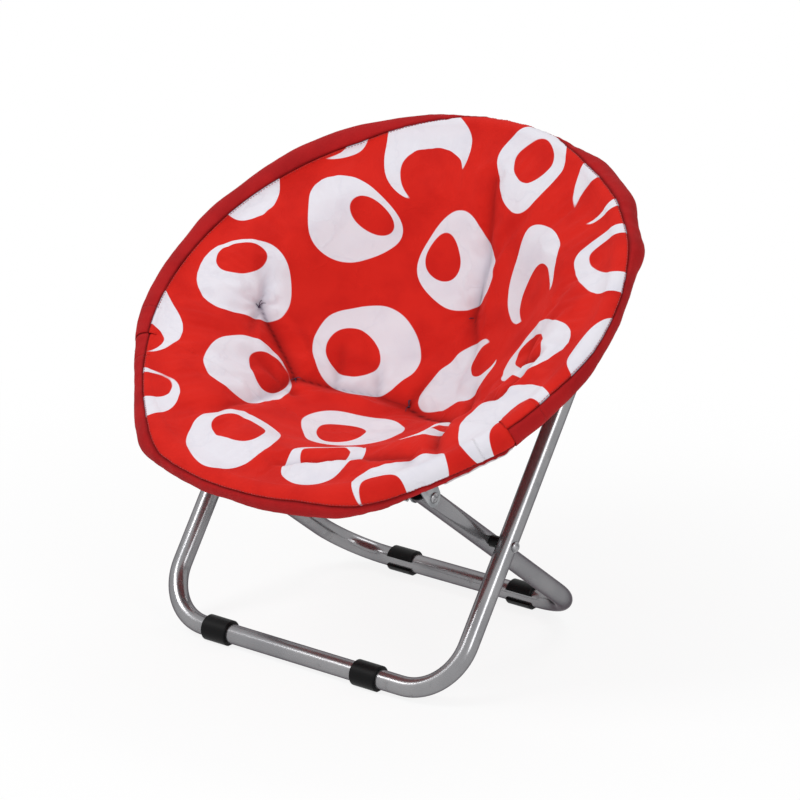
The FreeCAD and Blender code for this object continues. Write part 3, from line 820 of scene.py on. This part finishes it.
def smooth_through(places, values, where):
    """A smooth line through points, level at its start."""
    slopes = np.gradient(values, places)
    slopes[0] = 0.0
    index = np.clip(np.searchsorted(places, where) - 1, 0, len(places) - 2)
    step = places[index + 1] - places[index]
    return bridge((where - places[index]) / step, values[index], step * slopes[index],
                  values[index + 1], step * slopes[index + 1])


def segment_distance(x, v, x0, v0, x1, v1):
    dx, dv = x1 - x0, v1 - v0
    t = np.clip(((x - x0) * dx + (v - v0) * dv) / (dx * dx + dv * dv), 0, 1)
    return np.hypot(x - x0 - t * dx, v - v0 - t * dv), t


def pad_sink(x, v):
    """How far the upper face is drawn in at a point by tufts and folds, and how sharply
    creased it is there, from 0 to 1."""
    sink = np.zeros_like(x)
    puff = np.zeros_like(x)
    creased = np.zeros_like(x)
    for x0, v0, depth0, x1, v1, depth1, reach in folds:
        distance, along = segment_distance(x, v, x0, v0, x1, v1)
        depth = depth0 + (depth1 - depth0) * along
        soft = fold_soft_share * np.exp(-(distance / reach) ** fold_power)
        core = (1 - fold_soft_share) * np.exp(-distance / (fold_core_reach * reach))
        sink = np.maximum(sink, depth * (soft + core))
        beside = (distance - puff_place * reach) / (puff_spread * reach)
        puff = np.maximum(puff, depth * puff_share * np.exp(-beside ** 2))
        sharp = np.exp(-(distance / crease_reach) ** crease_power)
        creased = np.maximum(creased, depth / tuft_depth * sharp)
    for tx, tv in tufts:
        distance = np.hypot(x - tx, v - tv)
        angle = np.arctan2(v - tv, x - tx)
        ribs = tuft_rib_height * np.cos(tuft_ribs * angle + 30 * tx) * np.exp(-distance / tuft_rib_reach)
        sink = np.maximum(sink, tuft_depth * (1 + ribs) * np.exp(-(distance / tuft_reach) ** tuft_power))
        creased = np.maximum(creased, np.exp(-(distance / crease_reach) ** crease_power))
    return sink - puff * (1 - np.minimum(1, sink / (0.5 * tuft_depth))), creased


def pad_rumple(x, v):
    """Slow swells of the cloth over the bowl, and short pleats near its rim."""
    angle = np.arctan2(v, x)
    radius = np.hypot(x, v)
    around, up = np.cos(angle), np.sin(angle)
    swells = noise_over(x * swell_scale, v * swell_scale, 1.0)
    drags = noise_over(x * 12 + v * 9, v * 34 - x * 22, 4.0)
    pleats = noise_over(around * pleat_scale, up * pleat_scale, 6.0)
    short = noise_over(around * short_scale[0], up * short_scale[0], radius * short_scale[1])
    near_rim = np.clip((radius - pleats_from) / pleats_over, 0, 1)
    return (swell_height * swells + drag_height * drags
            + (pleat_height * pleats + short_height * short) * near_rim)


fine_r = np.linspace(0.0, line_r[-1], line_steps)
fine_w = smooth_through(line_r, line_w, fine_r)
fine_s = np.concatenate([[0.0], np.cumsum(np.hypot(np.diff(fine_r), np.diff(fine_w)))])
lip_s = float(fine_s[-1])
lip_r, lip_w = float(fine_r[-1]), float(fine_w[-1])
lip_slope = math.atan2(fine_w[-1] - fine_w[-1 - lip_steps], fine_r[-1] - fine_r[-1 - lip_steps])
flat_s_end = lip_s + pad_wrap

square = np.linspace(-1.0, 1.0, pad_grid + 1)
square_a, square_b = np.meshgrid(square, square, indexing="ij")
disc_u = (square_a * np.sqrt(1 - square_b ** 2 / 2)).ravel()
disc_v = (square_b * np.sqrt(1 - square_a ** 2 / 2)).ravel()
flat_u, flat_v = disc_u * flat_s_end, disc_v * flat_s_end
flat_s = np.hypot(flat_u, flat_v)
pad_angle = np.arctan2(flat_v, flat_u)
past_lip = np.clip((flat_s - lip_s) / (flat_s_end - lip_s), 0, 1)
on_rim = past_lip > 0

bowl_r = np.interp(flat_s, fine_s, fine_r)
bowl_w = smooth_through(line_r, line_w, np.minimum(bowl_r, lip_r))
slope = np.arctan(np.interp(bowl_r, fine_r, np.gradient(fine_w, fine_r)))
bowl_x, bowl_v = bowl_r * np.cos(pad_angle), bowl_r * np.sin(pad_angle)
sink, creased = pad_sink(bowl_x, bowl_v)
rumple = pad_rumple(bowl_x, bowl_v)
calm = 1 - past_lip
upper = (sink - rumple) * calm
lower = (under_sink * sink - rumple) * calm + pad_thickness

over_back = np.sin(pad_angle) * hoop_radius > hinge_v
rim_angle = np.where(over_back & (pad_angle < -math.pi / 2), pad_angle + 2 * math.pi, pad_angle)
lift = lift_angle(rim_angle, over_back)
wrap_radius = sleeve_radius(rim_angle, lift, over_back)[0] + cover_proud
along_r, along_w = pad_wrap * math.cos(lip_slope), pad_wrap * math.sin(lip_slope)
rim_r = bridge(past_lip, lip_r, along_r,
               hoop_radius + wrap_radius * np.cos(lift), pad_wrap * np.sin(lift))
rim_w = bridge(past_lip, lip_w, along_w,
               wrap_radius * np.sin(lift), -pad_wrap * np.cos(lift))
under_r = bridge(past_lip, lip_r + math.sin(lip_slope) * pad_thickness, under_pull[0] * along_r,
                 hoop_radius + under_end[0], under_pull[1] * pad_wrap)
under_w = bridge(past_lip, lip_w - math.cos(lip_slope) * pad_thickness, under_pull[0] * along_w,
                 under_end[1], under_pull[2] * pad_wrap)


def layer(depth, over_r, over_w):
    """One layer's points: the bowl sunk along its normal, then the way up to the tube."""
    r = np.where(on_rim, over_r, bowl_r + np.sin(slope) * depth)
    w = np.where(on_rim, over_w, bowl_w - np.cos(slope) * depth)
    return np.stack([r * np.cos(pad_angle), r * np.sin(pad_angle), w], axis=1)


rim_lift = np.where(on_rim, -upper, 0)
top_points = layer(upper, rim_r, rim_w + rim_lift)
bottom_points = layer(lower, under_r, under_w + rim_lift)
pad_points = from_hoop(np.concatenate([top_points, bottom_points]))
side_count = pad_grid + 1
layer_count = side_count * side_count

pad_faces = []
for i in range(pad_grid):
    for j in range(pad_grid):
        corner = i * side_count + j
        corners = [corner, corner + side_count, corner + side_count + 1, corner + 1]
        pad_faces.append(corners)
        pad_faces.append([below + layer_count for below in reversed(corners)])
edge_walk = [i * side_count for i in range(pad_grid)]
edge_walk += [pad_grid * side_count + j for j in range(pad_grid)]
edge_walk += [(pad_grid - i) * side_count + pad_grid for i in range(pad_grid)]
edge_walk += [pad_grid - j for j in range(pad_grid)]
for here, after in zip(edge_walk, edge_walk[1:] + edge_walk[:1]):
    pad_faces.append([after, here, here + layer_count, after + layer_count])

pad_mesh = bpy.data.meshes.new("seat_pad")
pad_mesh.from_pydata([tuple(point) for point in pad_points], [], pad_faces)
cut_map = pad_mesh.uv_layers.new(name="cut")
flat_cut = np.tile(np.stack([flat_u, flat_v], axis=1), (2, 1))
corner_vertex = np.zeros(len(pad_mesh.loops), np.int32)
pad_mesh.loops.foreach_get("vertex_index", corner_vertex)
cut_map.data.foreach_set("uv", flat_cut[corner_vertex].ravel())
# The crease measure is kept on the mesh as the creased attribute; the canvases paint shade into the creases by it.
crease_map = pad_mesh.attributes.new("creased", "FLOAT", "POINT")
crease_map.data.foreach_set("value", np.tile(creased * calm, 2).astype(np.float32))
edge_corner = np.zeros(len(pad_mesh.edges) * 2, np.int32)
pad_mesh.edges.foreach_get("vertices", edge_corner)
at_edge = np.tile(past_lip > 0.9999, 2)[edge_corner].reshape(-1, 2).all(axis=1)
sharp_map = pad_mesh.attributes.new("crease_edge", "FLOAT", "EDGE")
sharp_map.data.foreach_set("value", at_edge.astype(np.float32))
seat_pad = shown("seat_pad", pad_mesh)

# The pad is blown up a little between the tufts, the folds and the sewn rim
swell_frames = 20
swell_cap = 0.0045
swell_settings = {"quality": 6, "mass": 0.25, "tension_stiffness": 18, "compression_stiffness": 12,
                  "shear_stiffness": 8, "bending_stiffness": 1.2, "use_pressure": True,
                  "uniform_pressure_force": 4.0, "shrink_min": -0.012, "vertex_group_mass": "held"}
held_past_lip = 0.55
held_round_tuft = 0.007
held_sink = 0.0052

pull = (past_lip > held_past_lip) | (sink > held_sink)
for tx, tv in tufts:
    pull |= np.hypot(bowl_x - tx, bowl_v - tv) < held_round_tuft
held = seat_pad.vertex_groups.new(name="held")
held.add([int(index) for index in np.nonzero(np.tile(pull, 2))[0]], 1.0, "REPLACE")
cloth = seat_pad.modifiers.new("swell", "CLOTH")
for setting, value in swell_settings.items():
    setattr(cloth.settings, setting, value)
cloth.settings.effector_weights.gravity = 0.0
cloth.collision_settings.use_collision = False
cloth.point_cache.frame_start = 1
cloth.point_cache.frame_end = swell_frames
for step in range(1, swell_frames + 1):
    bpy.context.scene.frame_set(step)
shaped = seat_pad.evaluated_get(bpy.context.evaluated_depsgraph_get())
swollen = np.zeros(len(pad_mesh.vertices) * 3, np.float32)
shaped.data.vertices.foreach_get("co", swollen)
moves = swollen.reshape(-1, 3) - pad_points
length = np.linalg.norm(moves, axis=1)
moves *= np.minimum(1.0, swell_cap / np.maximum(length, 1e-9))[:, None]
seat_pad.modifiers.remove(cloth)
pad_points = pad_points + moves
pad_mesh.vertices.foreach_set("co", pad_points.astype(np.float32).ravel())
pad_mesh.update()
bpy.context.scene.frame_set(1)

sleeve_red = (0.420, 0.0100, 0.0115, 1)
sleeve_shade_red = (0.345, 0.0080, 0.0100, 1)
# A darker red for the creases and the seam: painted shade
sleeve_crease_shade_red = (0.150, 0.0030, 0.0050, 1)
canvas_red = (0.655, 0.0165, 0.0095, 1)
canvas_shade_red = (0.575, 0.0125, 0.0080, 1)
print_white = (0.775, 0.755, 0.815, 1)
# A darker white, both for random tone and for painted shade in the fine creases
print_tone_and_crease_shade_white = (0.700, 0.690, 0.765, 1)
# Darker reds and greys for the creases and their cores: painted shade
canvas_crease_shade_red = (0.210, 0.0030, 0.0035, 1)
print_crease_shade_grey = (0.330, 0.295, 0.370, 1)
canvas_crease_core_shade_red = (0.085, 0.0012, 0.0020, 1)
print_crease_core_shade_grey = (0.140, 0.115, 0.160, 1)
motif_across = 0.170
motif_down = 0.148
motif_radius = 0.073
motif_blunt = 0.012
motif_stretch = 1.16
motif_wander = (0.016, 0.014)
motif_size = (0.86, 0.20)
hole_place = (0.12, 0.46)
hole_size = (0.42, 0.16)
hole_stretch = 0.8
print_shift = (3.07, 3.02)
print_wander = 0.060
print_edge = 0.0006
thread_pitch = 0.0011


def woven(flat_place, spot):
    """The canvas's heights: its plain weave, slack places, and fine sharp creases."""
    thread_turns = 2 * math.pi / thread_pitch
    across = part_of(flat_place, "X") * thread_turns
    down = part_of(flat_place, "Y") * thread_turns
    weave = across.maths("SINE", across) * down.maths("SINE", down)
    slack = cloud(spot, 20.0, 4.0)
    ridge = abs(cloud(spot, 11.0, 5.0) - 0.5)
    crease = 1.0 - rising(ridge, 0.0, 0.022)
    return weave, slack, crease


def canvas_relief(weave, slack, crease):
    return raised(weave, 0.10, 0.0003, raised(crease, 0.16, 0.0015, raised(slack, 0.30, 0.005)))


def moons(u, v):
    """A field of round motifs, one to each cell of a staggered grid: thick rings whose
    hole is off the middle, some of them broken into crescents. It is positive inside."""
    row = v.maths("FLOOR", v / motif_down)
    u = u / motif_across + u.maths("FRACT", row * 0.5)
    column = u.maths("FLOOR", u)
    cell = u.node("ShaderNodeCombineXYZ", None, {"X": column, "Y": row, "Z": 7.0})
    draw = u.node("ShaderNodeTexWhiteNoise", {"noise_dimensions": "3D"}, {"Vector": cell}, "Value")
    more = u.node("ShaderNodeTexWhiteNoise", {"noise_dimensions": "3D"}, {"Vector": cell}, "Color")
    second = u.node("ShaderNodeSeparateColor", None, {"Color": more}, "Red")
    third = u.node("ShaderNodeSeparateColor", None, {"Color": more}, "Blue")
    x = (u - column - 0.5) * motif_across + (third - 0.5) * motif_wander[0]
    y = (v / motif_down - row - 0.5) * motif_down + (second - 0.5) * motif_wander[1]
    turn = draw * (2 * math.pi)
    cosine, sine = turn.maths("COSINE", turn), turn.maths("SINE", turn)
    along = x * cosine + y * sine
    beside = (y * cosine - x * sine) * motif_stretch
    whole = along * along + beside * beside
    radius = (motif_size[0] + second * motif_size[1]) * motif_radius
    from_hole = along - radius * (hole_place[0] + third * hole_place[1])
    hole = from_hole * from_hole + beside * beside * hole_stretch
    inside = radius - whole.maths("SQRT", whole)
    outside_hole = hole.maths("SQRT", hole) - radius * (hole_size[0] + second * hole_size[1])
    return inside.maths("SMOOTH_MIN", inside, outside_hole, motif_blunt)


canvas_fixed = {"Sheen Weight": 0.02, "Sheen Roughness": 0.5, "Specular IOR Level": 0.15}
cover_canvas, board, spot = new_material("printed_canvas", canvas_fixed)
flat_place = board.node("ShaderNodeUVMap", {"uv_map": "cut"})
weave, slack, crease = woven(flat_place, spot)
wander = cloud(flat_place, 8.5, 0.0, "Color").vector("SUBTRACT", {1: (0.5, 0.5, 0.5)})
spread = flat_place.vector("ADD", {1: wander.vector("SCALE", {"Scale": print_wander})})
inside = moons(part_of(spread, "X") + print_shift[0], part_of(spread, "Y") + print_shift[1])
white_share = rising(inside, -print_edge, print_edge)
# Where the mesh is creased, at the pad's folds and tufts and beside the sleeve's seam, the red and the print are
# darkened, most at the creases' cores: painted shade in the creases.
crease_shade_share = board.node("ShaderNodeAttribute", {"attribute_name": "creased"}, None, "Fac")
red_tone = blended(rising(slack, 0.35, 0.7), canvas_red, canvas_shade_red)
# The print is darker at random slack places, and along the fine creases of the canvas's relief: painted shade in
# the creases.
white_tone = blended(highest(rising(slack, 0.45, 0.85), crease * 0.35), print_white, print_tone_and_crease_shade_white)
red_tone = blended(crease_shade_share * 0.85, red_tone, canvas_crease_shade_red)
white_tone = blended(crease_shade_share * 0.78, white_tone, print_crease_shade_grey)
crease_core_shade = rising(crease_shade_share, 0.62, 1.0) * 0.75
red_tone = blended(crease_core_shade, red_tone, canvas_crease_core_shade_red)
white_tone = blended(crease_core_shade, white_tone, print_crease_core_shade_grey)
feed(board,
     Base_Color=blended(white_share, red_tone, white_tone),
     Roughness=0.82 + slack * 0.1 - white_share * 0.05,
     Normal=canvas_relief(weave, slack, crease))

plain_canvas, board, spot = new_material("plain_canvas", canvas_fixed)
weave, slack, crease = woven(spot, spot)
# Where the mesh is creased, beside the sleeve's seam and at the pad's folds and tufts, the red is darkened:
# painted shade in the creases.
crease_shade_share = board.node("ShaderNodeAttribute", {"attribute_name": "creased"}, None, "Fac")
sleeve_tone = blended(rising(slack, 0.35, 0.7), sleeve_red, sleeve_shade_red)
feed(board,
     Base_Color=blended(crease_shade_share * 0.7, sleeve_tone, sleeve_crease_shade_red),
     Roughness=0.84 + slack * 0.1,
     Normal=canvas_relief(weave, slack, crease))

printed_faces = 2 * pad_grid * pad_grid
for index, polygon in enumerate(pad_mesh.polygons):
    polygon.material_index = 0 if index < printed_faces and index % 2 == 0 else 1
    polygon.use_smooth = index < printed_faces
smooth = seat_pad.modifiers.new("smooth", "SUBSURF")
smooth.levels = 1
smooth.render_levels = 1
smooth_mesh = settled(seat_pad)

for half, above in (("back", True), ("front", False)):
    shape = bmesh.new()
    shape.from_mesh(smooth_mesh)
    cut = bmesh.ops.bisect_plane(
        shape, geom=shape.verts[:] + shape.edges[:] + shape.faces[:], dist=1e-6,
        plane_co=from_hoop((0, hinge_v, 0)), plane_no=hoop_up, clear_inner=above, clear_outer=not above)
    open_edges = [part for part in cut["geom_cut"] if isinstance(part, bmesh.types.BMEdge)]
    filled = bmesh.ops.holes_fill(shape, edges=open_edges, sides=0)["faces"]
    for face in filled:
        face.material_index = 1
        face.smooth = False
    bmesh.ops.triangulate(shape, faces=filled)
    pad = shown(half + "_seat_pad", mesh_of(half + "_seat_pad", shape, cover_canvas, plain_canvas))
    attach(pad, half + "_hoop")
    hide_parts("seat_cover_" + half)
    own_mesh(pad)


# The rim sleeves: plain red canvas sewn round the hoop's tube, with the cover's printed
# edge on its inner side. They are slack enough to pucker, and meet in a hem at each hinge.
sleeve_wall = 0.0011
least_wall = 0.0006
sleeve_step = 0.0030
print_sides = 20
plain_sides = 24
seam_crowding = 1.7


def on_sleeve(angle, turn, radius):
    """Places on the sleeve as x, v and w in the hoop's frame."""
    r = hoop_radius + radius * np.cos(turn)
    return np.stack([r * np.cos(angle), r * np.sin(angle), radius * np.sin(turn)], axis=-1)


def sleeve_turns(angle, on_back):
    """Where a ring's corners lie round the tube: the printed part, then the plain one."""
    seam = float(seam_angle(angle, on_back))
    shares = np.linspace(0, 1, print_sides + 1) ** seam_crowding
    printed = seam + (print_end - seam) * shares
    shares = 1 - np.linspace(1, 0, plain_sides + 1) ** seam_crowding
    plain = print_end + (seam + 2 * math.pi - print_end) * shares
    return np.concatenate([printed, plain[1:-1]])


def sleeve_mesh(name, runs, on_back):
    """Slack sleeves along the hoop, each from one angle to another."""
    shape = bmesh.new()
    cut = shape.loops.layers.uv.new("cut")
    # How near the seam each corner is, kept as the creased attribute; the canvases paint shade along the seam by
    # it.
    crease_layer = shape.verts.layers.float.new("creased")
    for start, stop in runs:
        stations = max(2, int(abs(stop - start) * hoop_radius / sleeve_step))
        layers, flats = [[], []], []
        for angle in np.linspace(start, stop, stations + 1):
            turns = sleeve_turns(angle, on_back)
            angles = np.full_like(turns, angle)
            outer, at_seam = sleeve_radius(angles, wrapped(turns), on_back)
            wall = np.minimum(sleeve_wall, outer - window_radius + least_wall)
            for rings, radius in zip(layers, (outer, outer - wall)):
                ring = [shape.verts.new(point) for point in from_hoop(on_sleeve(angles, turns, radius))]
                for corner, near in zip(ring, at_seam):
                    corner[crease_layer] = near
                rings.append(ring)
            reach = flat_s_end + print_radius * (float(lift_angle(angle, on_back)) - turns)
            flats.append(np.stack([reach * math.cos(angle), reach * math.sin(angle)], axis=1))
        count = len(turns)
        for inside, rings in enumerate(layers):
            for station in range(stations):
                for a in range(count):
                    b = (a + 1) % count
                    ring = [(station, a), (station, b), (station + 1, b), (station + 1, a)]
                    face = shape.faces.new([rings[i][k] for i, k in ring])
                    face.material_index = 0 if a < print_sides and not inside else 1
                    face.smooth = True
                    for loop, (i, k) in zip(face.loops, ring):
                        loop[cut].uv = flats[i][k]
        for end in (0, -1):
            for a in range(count):
                b = (a + 1) % count
                outer, inner = layers[0][end], layers[1][end]
                shape.faces.new((outer[a], outer[b], inner[b], inner[a])).material_index = 1
    return closed_mesh(name, shape, cover_canvas, plain_canvas)


hem_gap = 0.0003
sleeve_start = 0.038
back_from = math.asin((hinge_v + sleeve_start) / hoop_radius)
front_from = math.asin((hinge_v - sleeve_start) / hoop_radius)
hem_back = math.asin((hinge_v - hem_lap) / hoop_radius)
hem_front = math.asin((hinge_v - hem_gap) / hoop_radius)
sleeve_runs = {"back": [(back_from, math.pi - back_from)], "front": [(-math.pi - front_from, front_from)]}
cuff_runs = {"back": ((back_from, hem_back), (math.pi - back_from, math.pi - hem_back)),
             "front": ((front_from, hem_front), (-math.pi - front_from, -math.pi - hem_front))}


def draw_back(piece):
    """Give a piece at a hinge its own copy of its mesh."""
    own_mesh(piece)


for half in ("back", "front"):
    sleeve = shown(half + "_sleeve", sleeve_mesh(half + "_sleeve", sleeve_runs[half], half == "back"))
    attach(sleeve, half + "_hoop")
    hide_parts(half + "_rim_sleeve")
    start, stop = sleeve_runs[half][0]
    (stop - start) * hoop_radius
    for side, (join, hem) in zip(("right", "left"), cuff_runs[half]):
        name = half + "_hinge_cuff_" + side
        cuff = shown(name, sleeve_mesh(name, [(join, hem)], half == "back"))
        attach(cuff, half + "_hoop")
        length = abs(hem - join) * hoop_radius
        draw_back(cuff)


# The seam's stitches: a row of thread beside the join of the print and the sleeve, each
# stitch a small bar that lies along the hoop.
stitch_pitch = 0.0042
stitch_length = 0.0029
stitch_radius = 0.00035
stitch_body = 0.4
stitch_sides = 6
stitch_stations = 500
stitch_offset = math.radians(7)
stitch_proud = 0.00025

thread_red, board, spot = new_material("thread_red", {"Sheen Weight": 0.3, "Specular IOR Level": 0.3})
twist = cloud(spot, 900.0, 1.0)
feed(board,
     Base_Color=blended(twist, (0.300, 0.010, 0.014, 1), (0.480, 0.016, 0.018, 1)),
     Roughness=0.55 + twist * 0.25,
     Normal=raised(twist, 0.3, 0.0002))

stitch_plan, given = planned("stitch_row", {"Pitch": "Float", "Stitch": "Object"})
spots = stitch_plan.node("GeometryNodeCurveToPoints", {"mode": "LENGTH"},
                         {"Curve": given["Geometry"], "Length": given["Pitch"]}, "Points")
turned_along = Wire(stitch_plan.tree, spots.socket.node.outputs["Rotation"])
stitch_shape = stitch_plan.node("GeometryNodeObjectInfo", None, {"Object": given["Stitch"]}, "Geometry")
row = stitch_plan.node("GeometryNodeInstanceOnPoints", None,
                       {"Points": spots, "Instance": stitch_shape, "Rotation": turned_along})
finish_plan(stitch_plan, row, thread_red)

stitch_outline = [(-stitch_length / 2, 0), (-stitch_length * stitch_body, stitch_radius),
                  (stitch_length * stitch_body, stitch_radius), (stitch_length / 2, 0)]

for half in ("back", "front"):
    start, stop = sleeve_runs[half][0]
    angles = np.linspace(start, stop, stitch_stations)
    turns = seam_angle(angles, half == "back") + stitch_offset
    raised_by = sleeve_radius(angles, turns, half == "back")[0] + stitch_proud
    holder = thin_line(half + "_seam_line", from_hoop(on_sleeve(angles, turns, raised_by)))
    stitch = shown("stitch", turned(stitch_outline, stitch_sides))
    stitch.data.transform(Matrix.Rotation(math.radians(-90), 4, "Y"))
    row = grown(half + "_seam_stitches", holder, stitch_plan, {"Pitch": stitch_pitch, "Stitch": stitch})
    bpy.data.objects.remove(stitch)
    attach(row, half + "_hoop")


# The tufts' threads: at each tuft a knot of dark thread draws the cover's layers together.
# It is a short coil with three cut ends that lie on the cloth.
knot_radius = 0.0017
knot_turn = 2.2 * math.pi
knot_cord = 0.62
thread_steps = 6
end_radius = 0.00045
end_length = 0.010
end_rise = 0.0040

thread_dark, board, spot = new_material("thread_dark", {"Specular IOR Level": 0.3})
twist = cloud(spot, 800.0, 1.0)
feed(board,
     Base_Color=blended(twist, (0.020, 0.012, 0.030, 1), (0.070, 0.040, 0.080, 1)),
     Roughness=0.6 + twist * 0.2,
     Normal=raised(twist, 0.3, 0.0002))


def capped(shape, rings):
    """Faces from ring to ring, and one over each end."""
    skin(shape, rings)
    shape.faces.new(rings[0])
    shape.faces.new(rings[-1])


def swept(shape, points, radii, sides=8):
    """Add a closed tapering rod along points to a bmesh."""
    rings = []
    for index, place in enumerate(points):
        after = points[min(index + 1, len(points) - 1)] - points[max(index - 1, 0)]
        frame_turn = after.to_track_quat("X", "Z")
        ring = [shape.verts.new(place + frame_turn @ Vector((0, math.cos(a), math.sin(a))) * radii[index])
                for a in [2 * math.pi * k / sides for k in range(sides)]]
        rings.append(ring)
    capped(shape, rings)


shape = bmesh.new()
steps = [k / thread_steps for k in range(thread_steps + 1)]
for index, (tx, tv) in enumerate(tufts):
    nearest = int(np.argmin(np.hypot(bowl_x - tx, bowl_v - tv)))
    root = Vector(pad_points[nearest]) + hoop_out * knot_radius * 0.6
    loop = []
    for t in steps:
        coil = Vector((math.cos(knot_turn * t), 0, 0)) + hoop_up * math.sin(knot_turn * t)
        loop.append(root + (coil * 0.5 + hoop_out * (t - 0.5)) * knot_radius)
    swept(shape, loop, [knot_radius * knot_cord] * len(steps))
    for turn in (0.7 + index * 1.9, 2.9 + index * 1.3, 1.6 + index * 2.4):
        way = Vector((math.cos(turn), 0, 0)) + hoop_up * math.sin(turn)
        end = [root + way * end_length * t + hoop_out * (end_rise * math.sin(2.6 * t)) for t in steps]
        swept(shape, end, [end_radius] * thread_steps + [end_radius * 0.6])
threads = shown("tuft_threads", closed_mesh("tuft_threads", shape, thread_dark))
threads.data.shade_smooth()
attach(threads, "back_hoop")
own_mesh(threads)


# The hem tape: a narrow strip of undyed cotton, sewn on under the sleeve's front edge. Its
# end lies on the hinge cuff and is a piece of its own.
tape_from, tape_to = math.radians(-43), math.radians(-27)
tape_turns = np.radians((-42, -28, -28, -42))
tape_proud = np.array((0.0002, 0.0002, 0.0010, 0.0010))
tape_stations = 36

tape_cotton, board, spot = new_material("tape_cotton", {"Sheen Weight": 0.1, "Specular IOR Level": 0.2})
weave, slack, crease = woven(spot, spot)
feed(board,
     Base_Color=blended(slack, (0.62, 0.58, 0.60, 1), (0.74, 0.70, 0.73, 1)),
     Roughness=0.85 + slack * 0.08,
     Normal=canvas_relief(weave, slack, crease))

for name, start, stop in (("hem_tape", tape_from, front_from), ("hem_tape_end", front_from, tape_to)):
    shape = bmesh.new()
    rings = []
    for angle in np.linspace(start, stop, tape_stations):
        angles = np.full_like(tape_turns, angle)
        radius = sleeve_radius(angles, tape_turns, False)[0] + tape_proud
        ring = from_hoop(on_sleeve(angles, tape_turns, radius))
        rings.append([shape.verts.new(point) for point in ring])
    capped(shape, rings)
    tape = shown(name, closed_mesh(name, shape, tape_cotton))
    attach(tape, "front_hoop")
    if start == front_from:
        draw_back(tape)
